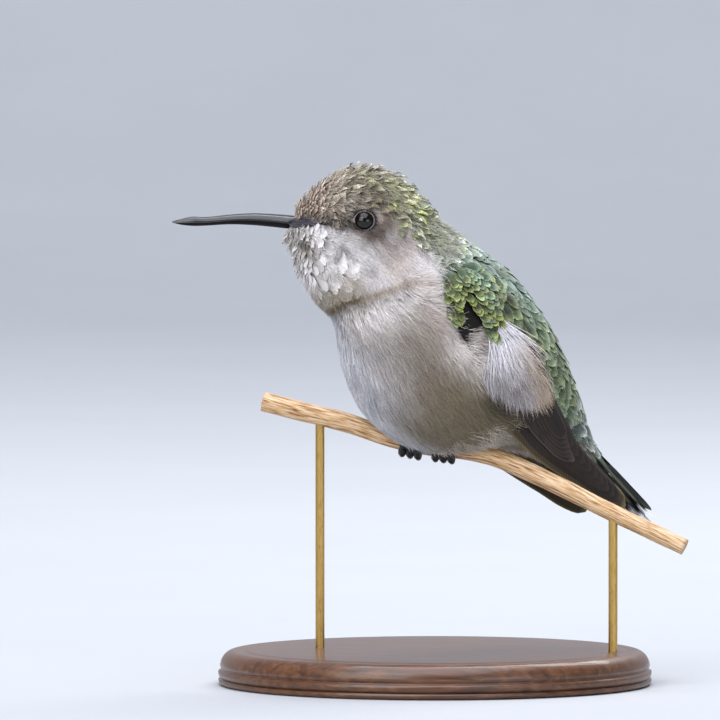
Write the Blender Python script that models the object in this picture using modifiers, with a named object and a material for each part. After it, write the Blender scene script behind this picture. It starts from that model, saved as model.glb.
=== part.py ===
"""A perched female ruby-throated hummingbird on a cut vine stem, held by a two-rod display stand.

Run it with blender --background --python part.py, or from Blender's text editor. It models in metres,
+Z up, with the stand's disc centred on the origin and standing on Z = 0. The bird looks along -X.
Sizes are named in millimetres and turned to metres by MM.

Two frames are used for the body. The head's mid plane is parallel to the XZ plane. The trunk's mid plane
is turned by TRUNK_YAW about the feet, so that the breast swings towards -Y, as a bird looks over its
shoulder. Places along the body are given as X and Z seen from the side, and side_to_world adds the Y of
whichever mid plane they lie in.
"""

import math

import bmesh
import bpy
import numpy as np
from mathutils import Matrix, Vector
from mathutils.bvhtree import BVHTree

MM = 0.001

# Driving dimensions, in millimetres
TRUNK_YAW = math.radians(22.0)
PIVOT_X = 0.5  # where the trunk's mid plane crosses Y = 0, above the feet
HEAD_Y = -4.6  # the head's mid plane
GAP = 0.3  # between neighbouring solids
FINE_GAP = 0.15  # between the smallest ones

STEM_YAW = math.radians(12.0)
FOOT_ROOM = 1.15  # further room in the belly for the toes round the stem

DISC_RADIUS = 31.0
DISC_HEIGHT = 5.0
DISC_BEVEL = 0.9
ROD_RADIUS = 0.65
ROD_CLEARANCE = 0.15
ROD_SOCKET_DEPTH = 2.5  # in the disc
ROD_X = {"stand_rod_left": -16.4, "stand_rod_right": 25.3}

EYE_X, EYE_Z = -10.1, 66.6
EYE_RADIUS = 1.6
EYE_SINK = 0.85  # how far the eyeball's centre lies inside the head's surface

TOE_RADIUS = 0.4
TOE_SIDES = 6
TARSUS_RADIUS = 0.5
FOOT_X = {"left": 1.6, "right": -3.1}  # where each foot grips the stem
TOE_SPREAD = 1.1  # between neighbouring toes, along the stem

# Stations of the body from the bill's root to the tail coverts: the back's X and Z, the front's X and Z,
# and half the width between the sides.
BODY = {
    "bill_root": (-20.1, 67.9, -20.9, 64.7, 1.9),
    "forehead": (-19.2, 69.4, -20.5, 62.9, 2.9),
    "brow": (-16.3, 72.0, -19.5, 59.8, 4.7),
    "crown": (-12.9, 73.5, -18.4, 57.3, 5.8),
    "eyes": (-9.0, 73.8, -16.9, 55.1, 6.5),
    "hindcrown": (-5.2, 72.3, -15.2, 53.2, 7.1),
    "nape": (-2.2, 69.3, -14.1, 51.0, 7.8),
    "hindneck": (0.9, 65.8, -13.5, 48.6, 8.9),
    "shoulder": (5.0, 63.0, -12.8, 46.0, 10.1),
    "mantle": (10.0, 59.2, -11.7, 42.9, 11.2),
    "back": (13.7, 54.6, -9.9, 39.3, 11.6),
    "lower_back": (16.4, 50.2, -7.1, 36.3, 11.2),
    "rump": (18.4, 46.0, -3.4, 34.0, 10.1),
    "rump_end": (19.9, 42.0, 1.3, 33.2, 8.5),
    "vent": (21.0, 38.8, 7.0, 33.9, 6.5),
    "tail_coverts": (21.9, 35.6, 12.6, 33.2, 4.8),
    "covert_tips": (23.4, 33.0, 17.6, 30.6, 3.5),
}
STATIONS = list(BODY)
# The neck turns from the head's mid plane to the trunk's between these two.
NECK_FROM, NECK_TO = STATIONS.index("eyes"), STATIONS.index("mantle")
# The body is parted at these places, counted in stations.
HEAD_END, NECK_END = 6.0, 8.0
PARTING = 0.1
AROUND = 28  # faces round a body section
ROWS_PER_STATION = 2

# Bill: X, top Z, bottom Z and half width, from inside the head to the tip. TOMIUM is where between bottom
# and top the two halves meet.
BILL = [
    (-17.6, 66.9, 65.5, 1.0),
    (-20.7, 67.2, 65.35, 1.25),
    (-23.3, 67.4, 65.6, 1.1),
    (-26.1, 67.5, 65.85, 0.95),
    (-29.3, 67.3, 66.0, 0.8),
    (-32.7, 66.9, 65.85, 0.68),
    (-34.5, 67.05, 65.75, 0.66),
    (-36.2, 66.7, 65.9, 0.4),
    (-37.4, 66.4, 66.2, 0.12),
]
TOMIUM = 0.38

# Wing, in the trunk's own frame: for the front edge and then the back edge, the distance behind the pivot,
# the least distance out from the mid plane and the height. It lies on the body where that is further out.
WING = {
    "shoulder": ((-3.3, 6.0, 59.2), (-0.7, 5.0, 60.4)),
    "wrist": ((-3.5, 6.0, 56.4), (3.6, 5.0, 59.0)),
    "lesser_coverts": ((-2.6, 8.0, 52.1), (7.1, 6.5, 55.3)),
    "greater_coverts": ((-0.6, 9.0, 48.3), (10.6, 7.0, 50.0)),
    "flank": ((1.9, 9.8, 43.4), (12.4, 7.6, 44.7)),
    "bend": ((4.8, 10.0, 38.6), (14.3, 7.8, 39.6)),
    "secondary_tips": ((10.3, 8.9, 33.6), (18.0, 7.1, 34.6)),
    "primaries": ((17.1, 7.3, 29.6), (22.5, 6.2, 30.6)),
    "near_tip": ((22.6, 6.1, 26.5), (25.7, 5.6, 27.8)),
    "tip": ((26.6, 5.4, 24.9), (27.2, 5.3, 25.5)),
}
WING_LIFT = 0.25  # of a wing's middle over the body
WING_PARTS = {
    # first and last place counted in stations, front and back share of the width, lift, thickness
    "coverts": (0.0, 3.55, 0.0, 1.0, 0.2, 1.5),
    "primaries": (3.68, 9.0, 0.0, 1.0, 0.0, 0.8),
    "secondaries": (4.5, 6.6, 0.45, 1.0, 1.15, 0.8),
}
DROOP = {"left": 0.0, "right": math.radians(2.5)}  # about the shoulder
ACROSS = 5  # faces across a wing

# Tail, in the trunk's mid plane: distance behind the pivot and height of the tip, and the way back to the
# root. Each feather group has its place out from the mid plane, depth under the top, roll, half width and
# how much longer it is than the outermost.
TAIL_TIP = (34.0, 23.2)
TAIL_SLOPE = math.radians(45.5)
TAIL_LENGTH = 15.6
TAIL_THICKNESS = 0.5
TAIL_CROWN = 0.35  # how far a group's middle stands above its edges
TAIL = {
    "tail_central": (0.0, 0.0, 0.0, 2.7, -1.6),
    "tail_left_inner": (-2.35, 1.05, 14.0, 2.1, -0.7),
    "tail_right_inner": (2.35, 1.05, -14.0, 2.1, -0.7),
    "tail_left_outer": (-3.0, 2.0, 20.0, 1.8, 0.0),
    "tail_right_outer": (3.0, 2.0, -20.0, 1.8, 0.0),
}

# Stem: X and Z of its centre line and its radius
STEM = [
    (-24.5, 40.2, 1.42),
    (-19.3, 38.9, 1.38),
    (-12.9, 37.4, 1.4),
    (-7.1, 35.5, 1.34),
    (-2.9, 34.4, 1.3),
    (2.1, 33.8, 1.3),
    (6.4, 33.2, 1.32),
    (10.0, 32.1, 1.34),
    (17.1, 28.9, 1.3),
    (24.4, 25.3, 1.22),
    (35.5, 20.1, 1.16),
]
STEM_STEPS = 34
STEM_SIDES = 10


# ---------------------------------------------------------------- helpers


def collection(name):
    """A new collection of that name in the scene."""
    made = bpy.data.collections.new(name)
    bpy.context.scene.collection.children.link(made)
    return made


def material(name, colour, roughness, metallic=0.0):
    """A Principled material with that linear colour."""
    made = bpy.data.materials.new(name)
    made.use_nodes = True
    shader = made.node_tree.nodes["Principled BSDF"]
    shader.inputs["Base Color"].default_value = (*colour, 1.0)
    shader.inputs["Roughness"].default_value = roughness
    shader.inputs["Metallic"].default_value = metallic
    return made


def add_object(name, mesh, home, finish=None):
    """Links an object that holds mesh in the collection home, shaded smooth."""
    made = bpy.data.objects.new(name, mesh)
    home.objects.link(made)
    if finish is not None:
        mesh.materials.append(finish)
    mesh.shade_smooth()
    mesh.set_sharp_from_angle(angle=math.radians(40))
    return made


def mesh_of_rows(name, rows, closed=True):
    """A mesh through rings of points, rows x around x 3 in millimetres, with flat fans on both ends."""
    rows = np.asarray(rows) * MM
    count, around = rows.shape[:2]
    builder = bmesh.new()
    rings = [[builder.verts.new(point) for point in ring] for ring in rows]
    for near, far in zip(rings, rings[1:]):
        for i in range(around):
            j = (i + 1) % around
            builder.faces.new((near[i], near[j], far[j], far[i]))
    if closed:
        for ring in (rings[0], rings[-1]):
            middle = builder.verts.new(sum((v.co for v in ring), Vector()) / around)
            for i in range(around):
                builder.faces.new((ring[i], middle, ring[(i + 1) % around]))
    bmesh.ops.recalc_face_normals(builder, faces=builder.faces)
    mesh = bpy.data.meshes.new(name)
    builder.to_mesh(mesh)
    builder.free()
    return mesh


def smooth_between(stations, places):
    """Catmull-Rom values at places, counted in stations, through the rows of stations."""
    stations = np.asarray(stations, float)
    last = len(stations) - 1
    padded = np.vstack([2 * stations[0] - stations[1], stations, 2 * stations[-1] - stations[-2]])
    places = np.clip(np.asarray(places, float), 0, last)
    start = np.minimum(places.astype(int), last - 1)
    t = (places - start)[:, None]
    a, b, c, d = (padded[start + k] for k in range(4))
    return 0.5 * (
        2 * b + (c - a) * t + (2 * a - 5 * b + 4 * c - d) * t**2 + (3 * b - a - 3 * c + d) * t**3
    )


def smooth_step(x):
    """0 below 0, 1 above 1, smooth between."""
    x = np.clip(x, 0, 1)
    return x * x * (3 - 2 * x)


def cut(target, tool):
    """Takes tool away from target with an exact Boolean."""
    modifier = target.modifiers.new("cut_" + tool.name, "BOOLEAN")
    modifier.operation = "DIFFERENCE"
    modifier.solver = "EXACT"
    modifier.object = tool


def as_cutter(tool):
    """Hides a helper that only cuts."""
    tool.hide_render = True
    tool.display_type = "WIRE"
    return tool


# ---------------------------------------------------------------- body


def trunk_share(place):
    """0 in the head's mid plane, 1 in the trunk's."""
    return smooth_step((np.asarray(place, float) - NECK_FROM) / (NECK_TO - NECK_FROM))


def side_to_world(x, z, share):
    """The point of the mid plane seen from the side at x, z."""
    trunk_y = (x - PIVOT_X) * math.tan(TRUNK_YAW)
    return np.stack([x, share * trunk_y + (1 - share) * HEAD_Y, z], -1)


def trunk_to_world(points):
    """Points given as distance behind the pivot, distance to the right of the mid plane and height."""
    behind, right, height = np.moveaxis(np.asarray(points, float), -1, 0)
    cos, sin = math.cos(TRUNK_YAW), math.sin(TRUNK_YAW)
    return np.stack([PIVOT_X + behind * cos - right * sin, behind * sin + right * cos, height], -1)


def body_sections(places):
    """Rings of the body at these places, counted in stations."""
    table = smooth_between(list(BODY.values()), places)
    share = trunk_share(places)
    back = side_to_world(table[:, 0], table[:, 1], share)
    front = side_to_world(table[:, 2], table[:, 3], share)
    middle, half = (back + front) / 2, (back - front) / 2
    yaw = share * TRUNK_YAW
    side = np.stack([-np.sin(yaw), np.cos(yaw), 0 * yaw], -1) * table[:, 4:5]
    turn = np.linspace(0, 2 * math.pi, AROUND, endpoint=False)[None, :, None]
    return middle[:, None] + half[:, None] * np.cos(turn) + side[:, None] * np.sin(turn)


def body_surface():
    """The whole body's surface in millimetres, for laying other parts on it."""
    rings = body_sections(np.linspace(0, len(STATIONS) - 1, 97))
    faces = []
    for i in range(len(rings) - 1):
        for j in range(AROUND):
            near, far = i * AROUND, (i + 1) * AROUND
            faces.append((near + j, near + (j + 1) % AROUND, far + (j + 1) % AROUND, far + j))
    return BVHTree.FromPolygons([tuple(point) for ring in rings for point in ring], faces)


def reach(surface, middle, outwards):
    """How far the surface lies from middle in a direction, or a negative number where it is missed."""
    start, outwards = Vector(middle) + 40 * Vector(outwards), Vector(outwards)
    distance = surface.ray_cast(start, -outwards, 60)[3]
    return -20.0 if distance is None else 40 - distance


def body_piece(name, start, end, home, finish):
    """The closed length of the body between two places, counted in stations."""
    rows = max(3, round((end - start) * ROWS_PER_STATION) + 1)
    mesh = mesh_of_rows(name, body_sections(np.linspace(start, end, rows)))
    return add_object(name, mesh, home, finish)


# ---------------------------------------------------------------- bill and eyes


def bill_piece(name, start, end, grow, home, finish=None):
    """The part of the bill between two angles round the line where its halves meet."""
    rings = []
    whole = end - start > 4
    turn = np.linspace(start, end, 8, endpoint=not whole)
    above = 0 if whole else math.copysign(FINE_GAP / 2, math.pi / 2 - start)
    for x, top, bottom, half_width in smooth_between(BILL, np.linspace(0, len(BILL) - 1, 17)):
        line = bottom + TOMIUM * (top - bottom) + above
        reach = np.where(np.sin(turn) > 0, top - line, line - bottom)
        across = (half_width + grow) * np.cos(turn)
        height = line + (np.maximum(reach, 0.06) + grow) * np.sin(turn)
        rings.append(np.stack([x + 0 * turn, HEAD_Y + across, height], -1))
    rings[0][:, 0] += grow
    return add_object(name, mesh_of_rows(name, rings), home, finish)


def eyeball(name, surface, side, radius, home, finish=None):
    """A ball in the head's side; side is -1 for the left and 1 for the right."""
    span = reach(surface, (EYE_X, HEAD_Y, EYE_Z), (0, side, 0)) - EYE_SINK
    builder = bmesh.new()
    place = Matrix.Translation(Vector((EYE_X, HEAD_Y + side * span, EYE_Z)) * MM)
    bmesh.ops.create_uvsphere(builder, u_segments=16, v_segments=10, radius=radius * MM, matrix=place)
    mesh = bpy.data.meshes.new(name)
    builder.to_mesh(mesh)
    builder.free()
    return add_object(name, mesh, home, finish)


# ---------------------------------------------------------------- wings and tail


def sheet_of(name, grid, thickness, home, finish=None):
    """A grid of points in millimetres, rows x columns x 3, given that thickness."""
    grid = np.asarray(grid) * MM
    builder = bmesh.new()
    rows = [[builder.verts.new(point) for point in row] for row in grid]
    for near, far in zip(rows, rows[1:]):
        for i in range(len(near) - 1):
            builder.faces.new((near[i], near[i + 1], far[i + 1], far[i]))
    mesh = bpy.data.meshes.new(name)
    builder.to_mesh(mesh)
    builder.free()
    made = add_object(name, mesh, home, finish)
    solidify = made.modifiers.new("thickness", "SOLIDIFY")
    solidify.thickness = thickness * MM
    solidify.offset = 0
    solidify.use_even_offset = False
    return made


def drooped(points, angle):
    """Trunk frame points turned down by angle about the shoulder."""
    hinge = np.array(WING["shoulder"][1], float)
    away = points - hinge
    cos, sin = math.cos(angle), math.sin(angle)
    behind = away[..., 0] * cos + away[..., 2] * sin
    height = -away[..., 0] * sin + away[..., 2] * cos
    return hinge + np.stack([behind, away[..., 1], height], -1)


def longer(points, by):
    """The same grid with its first and last rows moved outwards along its length."""
    for end, next_in in ((0, 1), (-1, -2)):
        along = points[end] - points[next_in]
        points[end] += by * along / np.linalg.norm(along, axis=-1, keepdims=True)
    return points


def wing_grid(surface, side, part, grow=0.0):
    """Points of one part of a wing; grow widens and lengthens it all round."""
    start, end, front, back, lift, _ = WING_PARTS[part]
    rows = max(4, round((end - start) * 2.5) + 1)
    table = smooth_between([f + b for f, b in WING.values()], np.linspace(start, end, rows))
    fore, aft = table[:, None, :3], table[:, None, 3:]
    share = np.linspace(front, back, ACROSS + 1)[None, :, None]
    across = aft - fore
    across /= np.linalg.norm(across, axis=-1, keepdims=True)
    points = fore + (aft - fore) * share + across * grow * (2 * (share - front) / (back - front) - 1)
    points = drooped(longer(points, grow), DROOP[side])
    sign = -1 if side == "left" else 1
    outwards = trunk_to_world((0, sign, 0)) - trunk_to_world((0, 0, 0))
    for point in points.reshape(-1, 3):
        on_body = WING_LIFT + reach(surface, trunk_to_world((point[0], 0, point[2])), outwards)
        apart = on_body - point[1]
        point[1] += (apart + math.hypot(apart, 0.6)) / 2 + lift
        point[1] *= sign
    return trunk_to_world(points)


def wing(surface, side, home, tools, finishes):
    """The named pieces of one wing, and the tools that make room for them in the body."""
    room = []
    for part in WING_PARTS:
        name, thickness = f"wing_{side}_{part}", WING_PARTS[part][-1]
        sheet_of(name, wing_grid(surface, side, part), thickness, home, finishes[part])
        grown = wing_grid(surface, side, part, GAP)
        room.append(as_cutter(sheet_of(f"room_for_{name}", grown, thickness + 2 * GAP, tools)))
    return room


def tail_group(name, grow, home, finish=None):
    """One group of tail feathers, a thin blade that widens and then rounds off."""
    out, depth, roll, half_width, longer_by = TAIL[name]
    length = TAIL_LENGTH + longer_by + 2 * grow
    back = np.array([math.cos(TAIL_SLOPE), 0, -math.sin(TAIL_SLOPE)])
    up = np.array([math.sin(TAIL_SLOPE), 0, math.cos(TAIL_SLOPE)])
    side = np.array([0, math.cos(math.radians(roll)), 0]) + up * math.sin(math.radians(roll))
    root = np.array([TAIL_TIP[0], out, TAIL_TIP[1]]) - back * (TAIL_LENGTH + grow) - up * depth
    share = np.linspace(0, 1, 10)[:, None, None]
    tapered = 0.7 + 0.3 * smooth_step(share / 0.6)
    rounded = np.sqrt(np.clip(1 - np.clip((share - 0.72) / 0.28, 0, 1) ** 2, 0.03, 1))
    across = np.linspace(-1, 1, 5)[None, :, None] * tapered * rounded
    grid = root + back * length * share + side * across * (half_width + grow)
    grid = grid + up * TAIL_CROWN * (1 - across**2)
    return sheet_of(name, trunk_to_world(grid), TAIL_THICKNESS + 2 * grow, home, finish)


# ---------------------------------------------------------------- stem, legs and stand


def stem_points(steps):
    """Centre line and radius of the stem at that many even steps."""
    table = smooth_between(STEM, np.linspace(0, len(STEM) - 1, steps))
    y = -(table[:, 0] - PIVOT_X) * math.tan(STEM_YAW)
    return np.stack([table[:, 0], y, table[:, 1]], -1), table[:, 2]


def stem_at(x):
    """Centre, direction and radius of the stem at X = x."""
    line, radius = stem_points(400)
    i = int(np.argmin(abs(line[:, 0] - x)))
    along = line[i + 1] - line[i - 1]
    return line[i], along / np.linalg.norm(along), radius[i]


def tube(name, points, radii, home, finish=None, sides=8):
    """A closed tube of changing radius, as a mesh with its caps joined on."""
    curve = bpy.data.curves.new(name, "CURVE")
    curve.dimensions = "3D"
    curve.bevel_depth = MM
    curve.bevel_resolution = sides // 2 - 2
    curve.use_fill_caps = True
    spline = curve.splines.new("POLY")
    spline.points.add(len(points) - 1)
    for spot, point, radius in zip(spline.points, points, radii):
        spot.co = (*(np.asarray(point) * MM), 1)
        spot.radius = float(radius)
    guide = bpy.data.objects.new(name, curve)
    home.objects.link(guide)
    bpy.context.view_layer.update()
    mesh = bpy.data.meshes.new_from_object(guide.evaluated_get(bpy.context.evaluated_depsgraph_get()))
    bpy.data.objects.remove(guide)
    builder = bmesh.new()
    builder.from_mesh(mesh)
    bmesh.ops.remove_doubles(builder, verts=builder.verts, dist=1e-7)
    bmesh.ops.recalc_face_normals(builder, faces=builder.faces)
    mesh.clear_geometry()
    builder.to_mesh(mesh)
    builder.free()
    mesh.materials.clear()
    return add_object(name, mesh, home, finish)


def toe_line(middle, along, forward, radius, sideways, start, end):
    """Points of a toe that bends round the stem from one angle above its forward side to another."""
    up = np.cross(along, forward)
    up = up if up[2] > 0 else -up
    turn = np.radians(np.linspace(start, end, 8))[:, None]
    away = radius + TOE_RADIUS + FINE_GAP
    spread = sideways * np.linspace(0.35, 1, 8)[:, None]
    return middle + away * (forward * np.cos(turn) + up * np.sin(turn)) + along * spread


def leg(side, home, tools, finish):
    """Shank and foot of one side; returns the tool that makes room for the shank in the belly."""
    middle, along, radius = stem_at(FOOT_X[side])
    forward = np.cross([0, 0, 1.0], along)
    forward /= np.linalg.norm(forward)
    forward = -forward if forward[1] > 0 else forward
    radii = [TOE_RADIUS * share for share in (1, 1, 1, 1, 0.95, 0.75, 0.5, 0.2)]
    lines = [toe_line(middle, along, forward, radius, TOE_SPREAD * k, 84, -80) for k in (-1, 0, 1)]
    hind = toe_line(middle, along, forward, radius, 0.3, 84, 236)
    foot = tube(f"foot_{side}", hind, radii, home, finish, TOE_SIDES)
    for k, line in enumerate(lines):
        join = foot.modifiers.new(f"toe_{k}", "BOOLEAN")
        join.operation = "UNION"
        join.solver = "EXACT"
        join.object = as_cutter(tube(f"toe_{side}_{k}", line, radii, tools, None, TOE_SIDES))
    ankle = lines[1][0] + np.array([0, 0, TOE_RADIUS + TARSUS_RADIUS + FINE_GAP - 0.1])
    knee = ankle + np.array([1.6, 1.2, 3.4])
    tube(f"leg_{side}", [ankle, knee], [TARSUS_RADIUS] * 2, home, finish)
    extra = (knee - ankle) * 0.12
    room = tube(f"room_for_leg_{side}", [ankle - extra, knee + extra], [TARSUS_RADIUS + GAP] * 2, tools)
    return as_cutter(room)


def cylinder(name, x, y, bottom, top, radius, home, finish=None):
    """An upright round rod."""
    builder = bmesh.new()
    place = Matrix.Translation(Vector((x, y, (bottom + top) / 2)) * MM)
    bmesh.ops.create_cone(
        builder,
        cap_ends=True,
        segments=20,
        radius1=radius * MM,
        radius2=radius * MM,
        depth=(top - bottom) * MM,
        matrix=place,
    )
    mesh = bpy.data.meshes.new(name)
    builder.to_mesh(mesh)
    builder.free()
    return add_object(name, mesh, home, finish)


def disc(home, finish):
    """The stand's turned foot, from a profile that runs down its outer side."""
    profile = [
        (0, DISC_HEIGHT),
        (DISC_RADIUS - 2.2 * DISC_BEVEL, DISC_HEIGHT),
        (DISC_RADIUS - 1.2 * DISC_BEVEL, DISC_HEIGHT - 0.3 * DISC_BEVEL),
        (DISC_RADIUS - 0.3 * DISC_BEVEL, DISC_HEIGHT - 1.2 * DISC_BEVEL),
        (DISC_RADIUS, DISC_HEIGHT - 2.2 * DISC_BEVEL),
        (DISC_RADIUS, DISC_BEVEL / 2),
        (DISC_RADIUS - DISC_BEVEL / 2, 0),
        (0, 0),
    ]
    mesh = bpy.data.meshes.new("stand_base")
    mesh.from_pydata(
        [(x * MM, 0, z * MM) for x, z in profile], [(i, i + 1) for i in range(len(profile) - 1)], []
    )
    made = add_object("stand_base", mesh, home, finish)
    screw = made.modifiers.new("turned", "SCREW")
    screw.steps = screw.render_steps = 48
    screw.use_merge_vertices = True
    screw.merge_threshold = 1e-6
    screw.use_normal_calculate = True
    return made


def stand(home, tools, finishes, stem):
    """Disc and two rods, each rod in a socket in the disc and in another in the stem."""
    foot = disc(home, finishes["wood"])
    for name, x in ROD_X.items():
        middle, _, _ = stem_at(x)
        bottom, top = DISC_HEIGHT - ROD_SOCKET_DEPTH, middle[2]
        cylinder(name, middle[0], middle[1], bottom, top, ROD_RADIUS, home, finishes["brass"])
        wide, slack = ROD_RADIUS + ROD_CLEARANCE, ROD_CLEARANCE
        low = cylinder(f"{name}_socket", middle[0], middle[1], bottom - slack, DISC_HEIGHT + 1, wide, tools)
        high = cylinder(f"{name}_bore", middle[0], middle[1], top - 4, top + slack, wide, tools)
        cut(foot, as_cutter(low))
        cut(stem, as_cutter(high))


def main():
    """Builds the bird, its perch and its stand."""
    for old in list(bpy.data.objects):
        bpy.data.objects.remove(old)
    bird = collection("perched_hummingbird")
    tools = collection("cutters")
    pale = material("pale_plumage", (0.56, 0.52, 0.47), 0.85)
    green = material("green_plumage", (0.2, 0.29, 0.14), 0.55)
    dusky = material("flight_feathers", (0.045, 0.036, 0.036), 0.6)
    horn = material("bill_horn", (0.035, 0.034, 0.04), 0.35)
    iris = material("eye", (0.004, 0.004, 0.005), 0.05)
    scaly = material("foot_skin", (0.012, 0.011, 0.011), 0.5)
    vine = material("dry_vine", (0.62, 0.44, 0.26), 0.7)
    finishes = {
        "coverts": green,
        "primaries": dusky,
        "secondaries": dusky,
        "wood": material("walnut", (0.11, 0.06, 0.035), 0.4),
        "brass": material("brass", (0.72, 0.5, 0.22), 0.3, 1.0),
    }

    surface = body_surface()
    head = body_piece("head", 0, HEAD_END - PARTING / 2, bird, pale)
    neck = body_piece("neck", HEAD_END + PARTING / 2, NECK_END - PARTING / 2, bird, pale)
    trunk = body_piece("trunk", NECK_END + PARTING / 2, len(STATIONS) - 1, bird, pale)

    bill_piece("bill_upper", 0, math.pi, 0.0, bird, horn)
    bill_piece("bill_lower", math.pi, 2 * math.pi, 0.0, bird, horn)
    cut(head, as_cutter(bill_piece("room_for_bill", 0, 2 * math.pi, FINE_GAP, tools)))
    for name, side in (("eye_left", -1), ("eye_right", 1)):
        eyeball(name, surface, side, EYE_RADIUS, bird, iris)
        cut(head, as_cutter(eyeball(f"room_for_{name}", surface, side, EYE_RADIUS + FINE_GAP, tools)))

    line, radii = stem_points(STEM_STEPS)
    stem = tube("perch_stem", line, radii, bird, vine, STEM_SIDES)
    near_feet = smooth_step((9.5 - abs(line[:, 0] + 0.8)) / 3)
    room = tube("room_for_feet", line, radii + GAP + near_feet * FOOT_ROOM, tools)
    cut(trunk, as_cutter(room))

    for side in ("left", "right"):
        cut(trunk, leg(side, bird, tools, scaly))
        coverts_room, primaries_room, secondaries_room = wing(surface, side, bird, tools, finishes)
        cut(neck, coverts_room)
        for room in (coverts_room, primaries_room, secondaries_room):
            cut(trunk, room)
    for name in TAIL:
        tail_group(name, 0.0, bird, green if name == "tail_central" else dusky)
        room = tail_group(name, GAP, tools)
        room.name = f"room_for_{name}"
        cut(trunk, as_cutter(room))
    stand(bird, tools, finishes, stem)


main()
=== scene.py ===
"""The looks of a perched female ruby-throated hummingbird on its display stand.

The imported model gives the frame. This script dresses it: one skin under the whole coat, scale-like
feathers on cap, throat, back and wings, fine strands on cheeks, breast and flanks, single flight
feathers in wings and tail, and the bill, eyes, feet, stem and stand. Lengths are in millimetres, and
MM turns them to metres where a mesh is made.

The body is laid out by two numbers. "run" counts stations from the bill's root to the tail coverts, and
"turn" goes once round the body, from the back over the right side, the breast and the left side. A place's
"drop" is the same on both sides: 0 on the back and 1 on the breast.
"""

import logging
import math
from dataclasses import dataclass, field
from enum import Enum
from typing import Callable, Iterable, Optional

import bpy
import numpy as np
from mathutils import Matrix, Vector
from mathutils.bvhtree import BVHTree

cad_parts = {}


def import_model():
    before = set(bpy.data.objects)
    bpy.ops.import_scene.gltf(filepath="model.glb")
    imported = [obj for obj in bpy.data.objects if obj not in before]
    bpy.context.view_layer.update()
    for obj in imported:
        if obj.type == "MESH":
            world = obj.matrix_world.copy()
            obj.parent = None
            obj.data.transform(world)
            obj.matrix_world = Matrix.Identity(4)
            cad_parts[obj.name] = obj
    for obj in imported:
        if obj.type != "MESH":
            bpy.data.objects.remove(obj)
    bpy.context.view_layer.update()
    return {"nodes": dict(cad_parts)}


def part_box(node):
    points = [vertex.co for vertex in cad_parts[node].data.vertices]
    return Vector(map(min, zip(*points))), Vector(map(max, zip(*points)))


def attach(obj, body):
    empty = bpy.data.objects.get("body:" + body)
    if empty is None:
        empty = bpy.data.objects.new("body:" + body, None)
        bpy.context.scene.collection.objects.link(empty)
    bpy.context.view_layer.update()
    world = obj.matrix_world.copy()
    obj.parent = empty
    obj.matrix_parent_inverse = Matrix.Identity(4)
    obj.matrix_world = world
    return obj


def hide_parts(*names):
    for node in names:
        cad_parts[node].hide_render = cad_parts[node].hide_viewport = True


MM = 0.001
BODY = "root"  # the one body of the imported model
CLOSED = 0.02  # size of the last ring that closes an end, as a share of the ring before it
MOST_TRIANGLES = 196000  # in one piece
Array = np.ndarray
Material = bpy.types.Material

logging.basicConfig(level=logging.INFO, format="%(message)s")
log = logging.getLogger("hummingbird")


# ------------------------------------------------------------------ helpers


def linear(hex_colour: str) -> Array:
    """Turns an sRGB colour such as #a0b1c2 into linear RGB.

    Args:
        hex_colour: Six hexadecimal digits after a hash.

    Returns:
        Three linear values from 0 to 1.
    """
    values = np.array([int(hex_colour[i : i + 2], 16) for i in (1, 3, 5)]) / 255
    return np.where(values <= 0.04045, values / 12.92, ((values + 0.055) / 1.055) ** 2.4)


def smooth_step(value: Array, low: float = 0.0, high: float = 1.0) -> Array:
    """Rises smoothly from 0 at low to 1 at high.

    Args:
        value: What is compared with low and high.
        low: Where the rise starts.
        high: Where it ends; it may be below low, for a fall.

    Returns:
        Values from 0 to 1, in value's shape.
    """
    share = np.clip((np.asarray(value, float) - low) / (high - low), 0, 1)
    return share * share * (3 - 2 * share)


def span(value: Array, *edges: float | Array) -> Array:
    """Rises from 0 to 1 between the first two edges and falls back between the last two.

    Args:
        value: What is compared with the edges.
        edges: Start and end of the rise, and, where it falls again, end and start of the fall.

    Returns:
        Values from 0 to 1, in value's shape.
    """
    share = smooth_step(value, *edges[:2])
    return share * smooth_step(value, *edges[2:]) if edges[2:] else share


def hump(value: Array, middle: float | Array, width: float) -> Array:
    """A smooth hump, 1 in its middle and about a third at its width."""
    return np.exp(-(((value - middle) / width) ** 2))


def mix(first: Array, second: Array, share: float | Array) -> Array:
    """Mixes two colours, or two arrays of them, by a share of the second.

    Args:
        first: Colours, ... x 3.
        second: Colours, ... x 3.
        share: How much of the second: one number, or numbers in the shape of the leading axes.

    Returns:
        Colours, ... x 3.
    """
    share = np.asarray(share)[..., None]
    return first * (1 - share) + second * share


def layered(base: Array, layers: Iterable[tuple[str, Array]]) -> Array:
    """Lays colours over one another.

    Args:
        base: The lowest colours, ... x 3.
        layers: The sRGB hex colour of each layer and how much it covers, from 0 to 1, the lowest first.

    Returns:
        Colours, ... x 3.
    """
    for hex_colour, share in layers:
        base = mix(base, linear(hex_colour), np.clip(share, 0, 1))
    return base


def unit(vectors: Array) -> Array:
    """Scales vectors, ... x 3, to length 1."""
    return vectors / np.maximum(np.linalg.norm(vectors, axis=-1, keepdims=True), 1e-9)


def circle(count: int) -> Array:
    """Angles of so many places once round a circle, in radians."""
    return np.linspace(0, 2 * math.pi, count, endpoint=False)


def mottle(points: Array, size: float, seed: int) -> Array:
    """Soft blotches through space, made of a few waves in different directions.

    Args:
        points: Places, ... x 3, in millimetres.
        size: Rough width of a blotch in millimetres.
        seed: Which pattern.

    Returns:
        Values mostly from -1 to 1.
    """
    dice = np.random.default_rng(seed)
    total = np.zeros(points.shape[:-1])
    for _ in range(7):
        direction = unit(dice.normal(size=3)) * math.pi / size * dice.uniform(0.6, 1.5)
        total += np.cos(points @ direction + dice.uniform(0, 2 * math.pi))
    return total / 2.6


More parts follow.
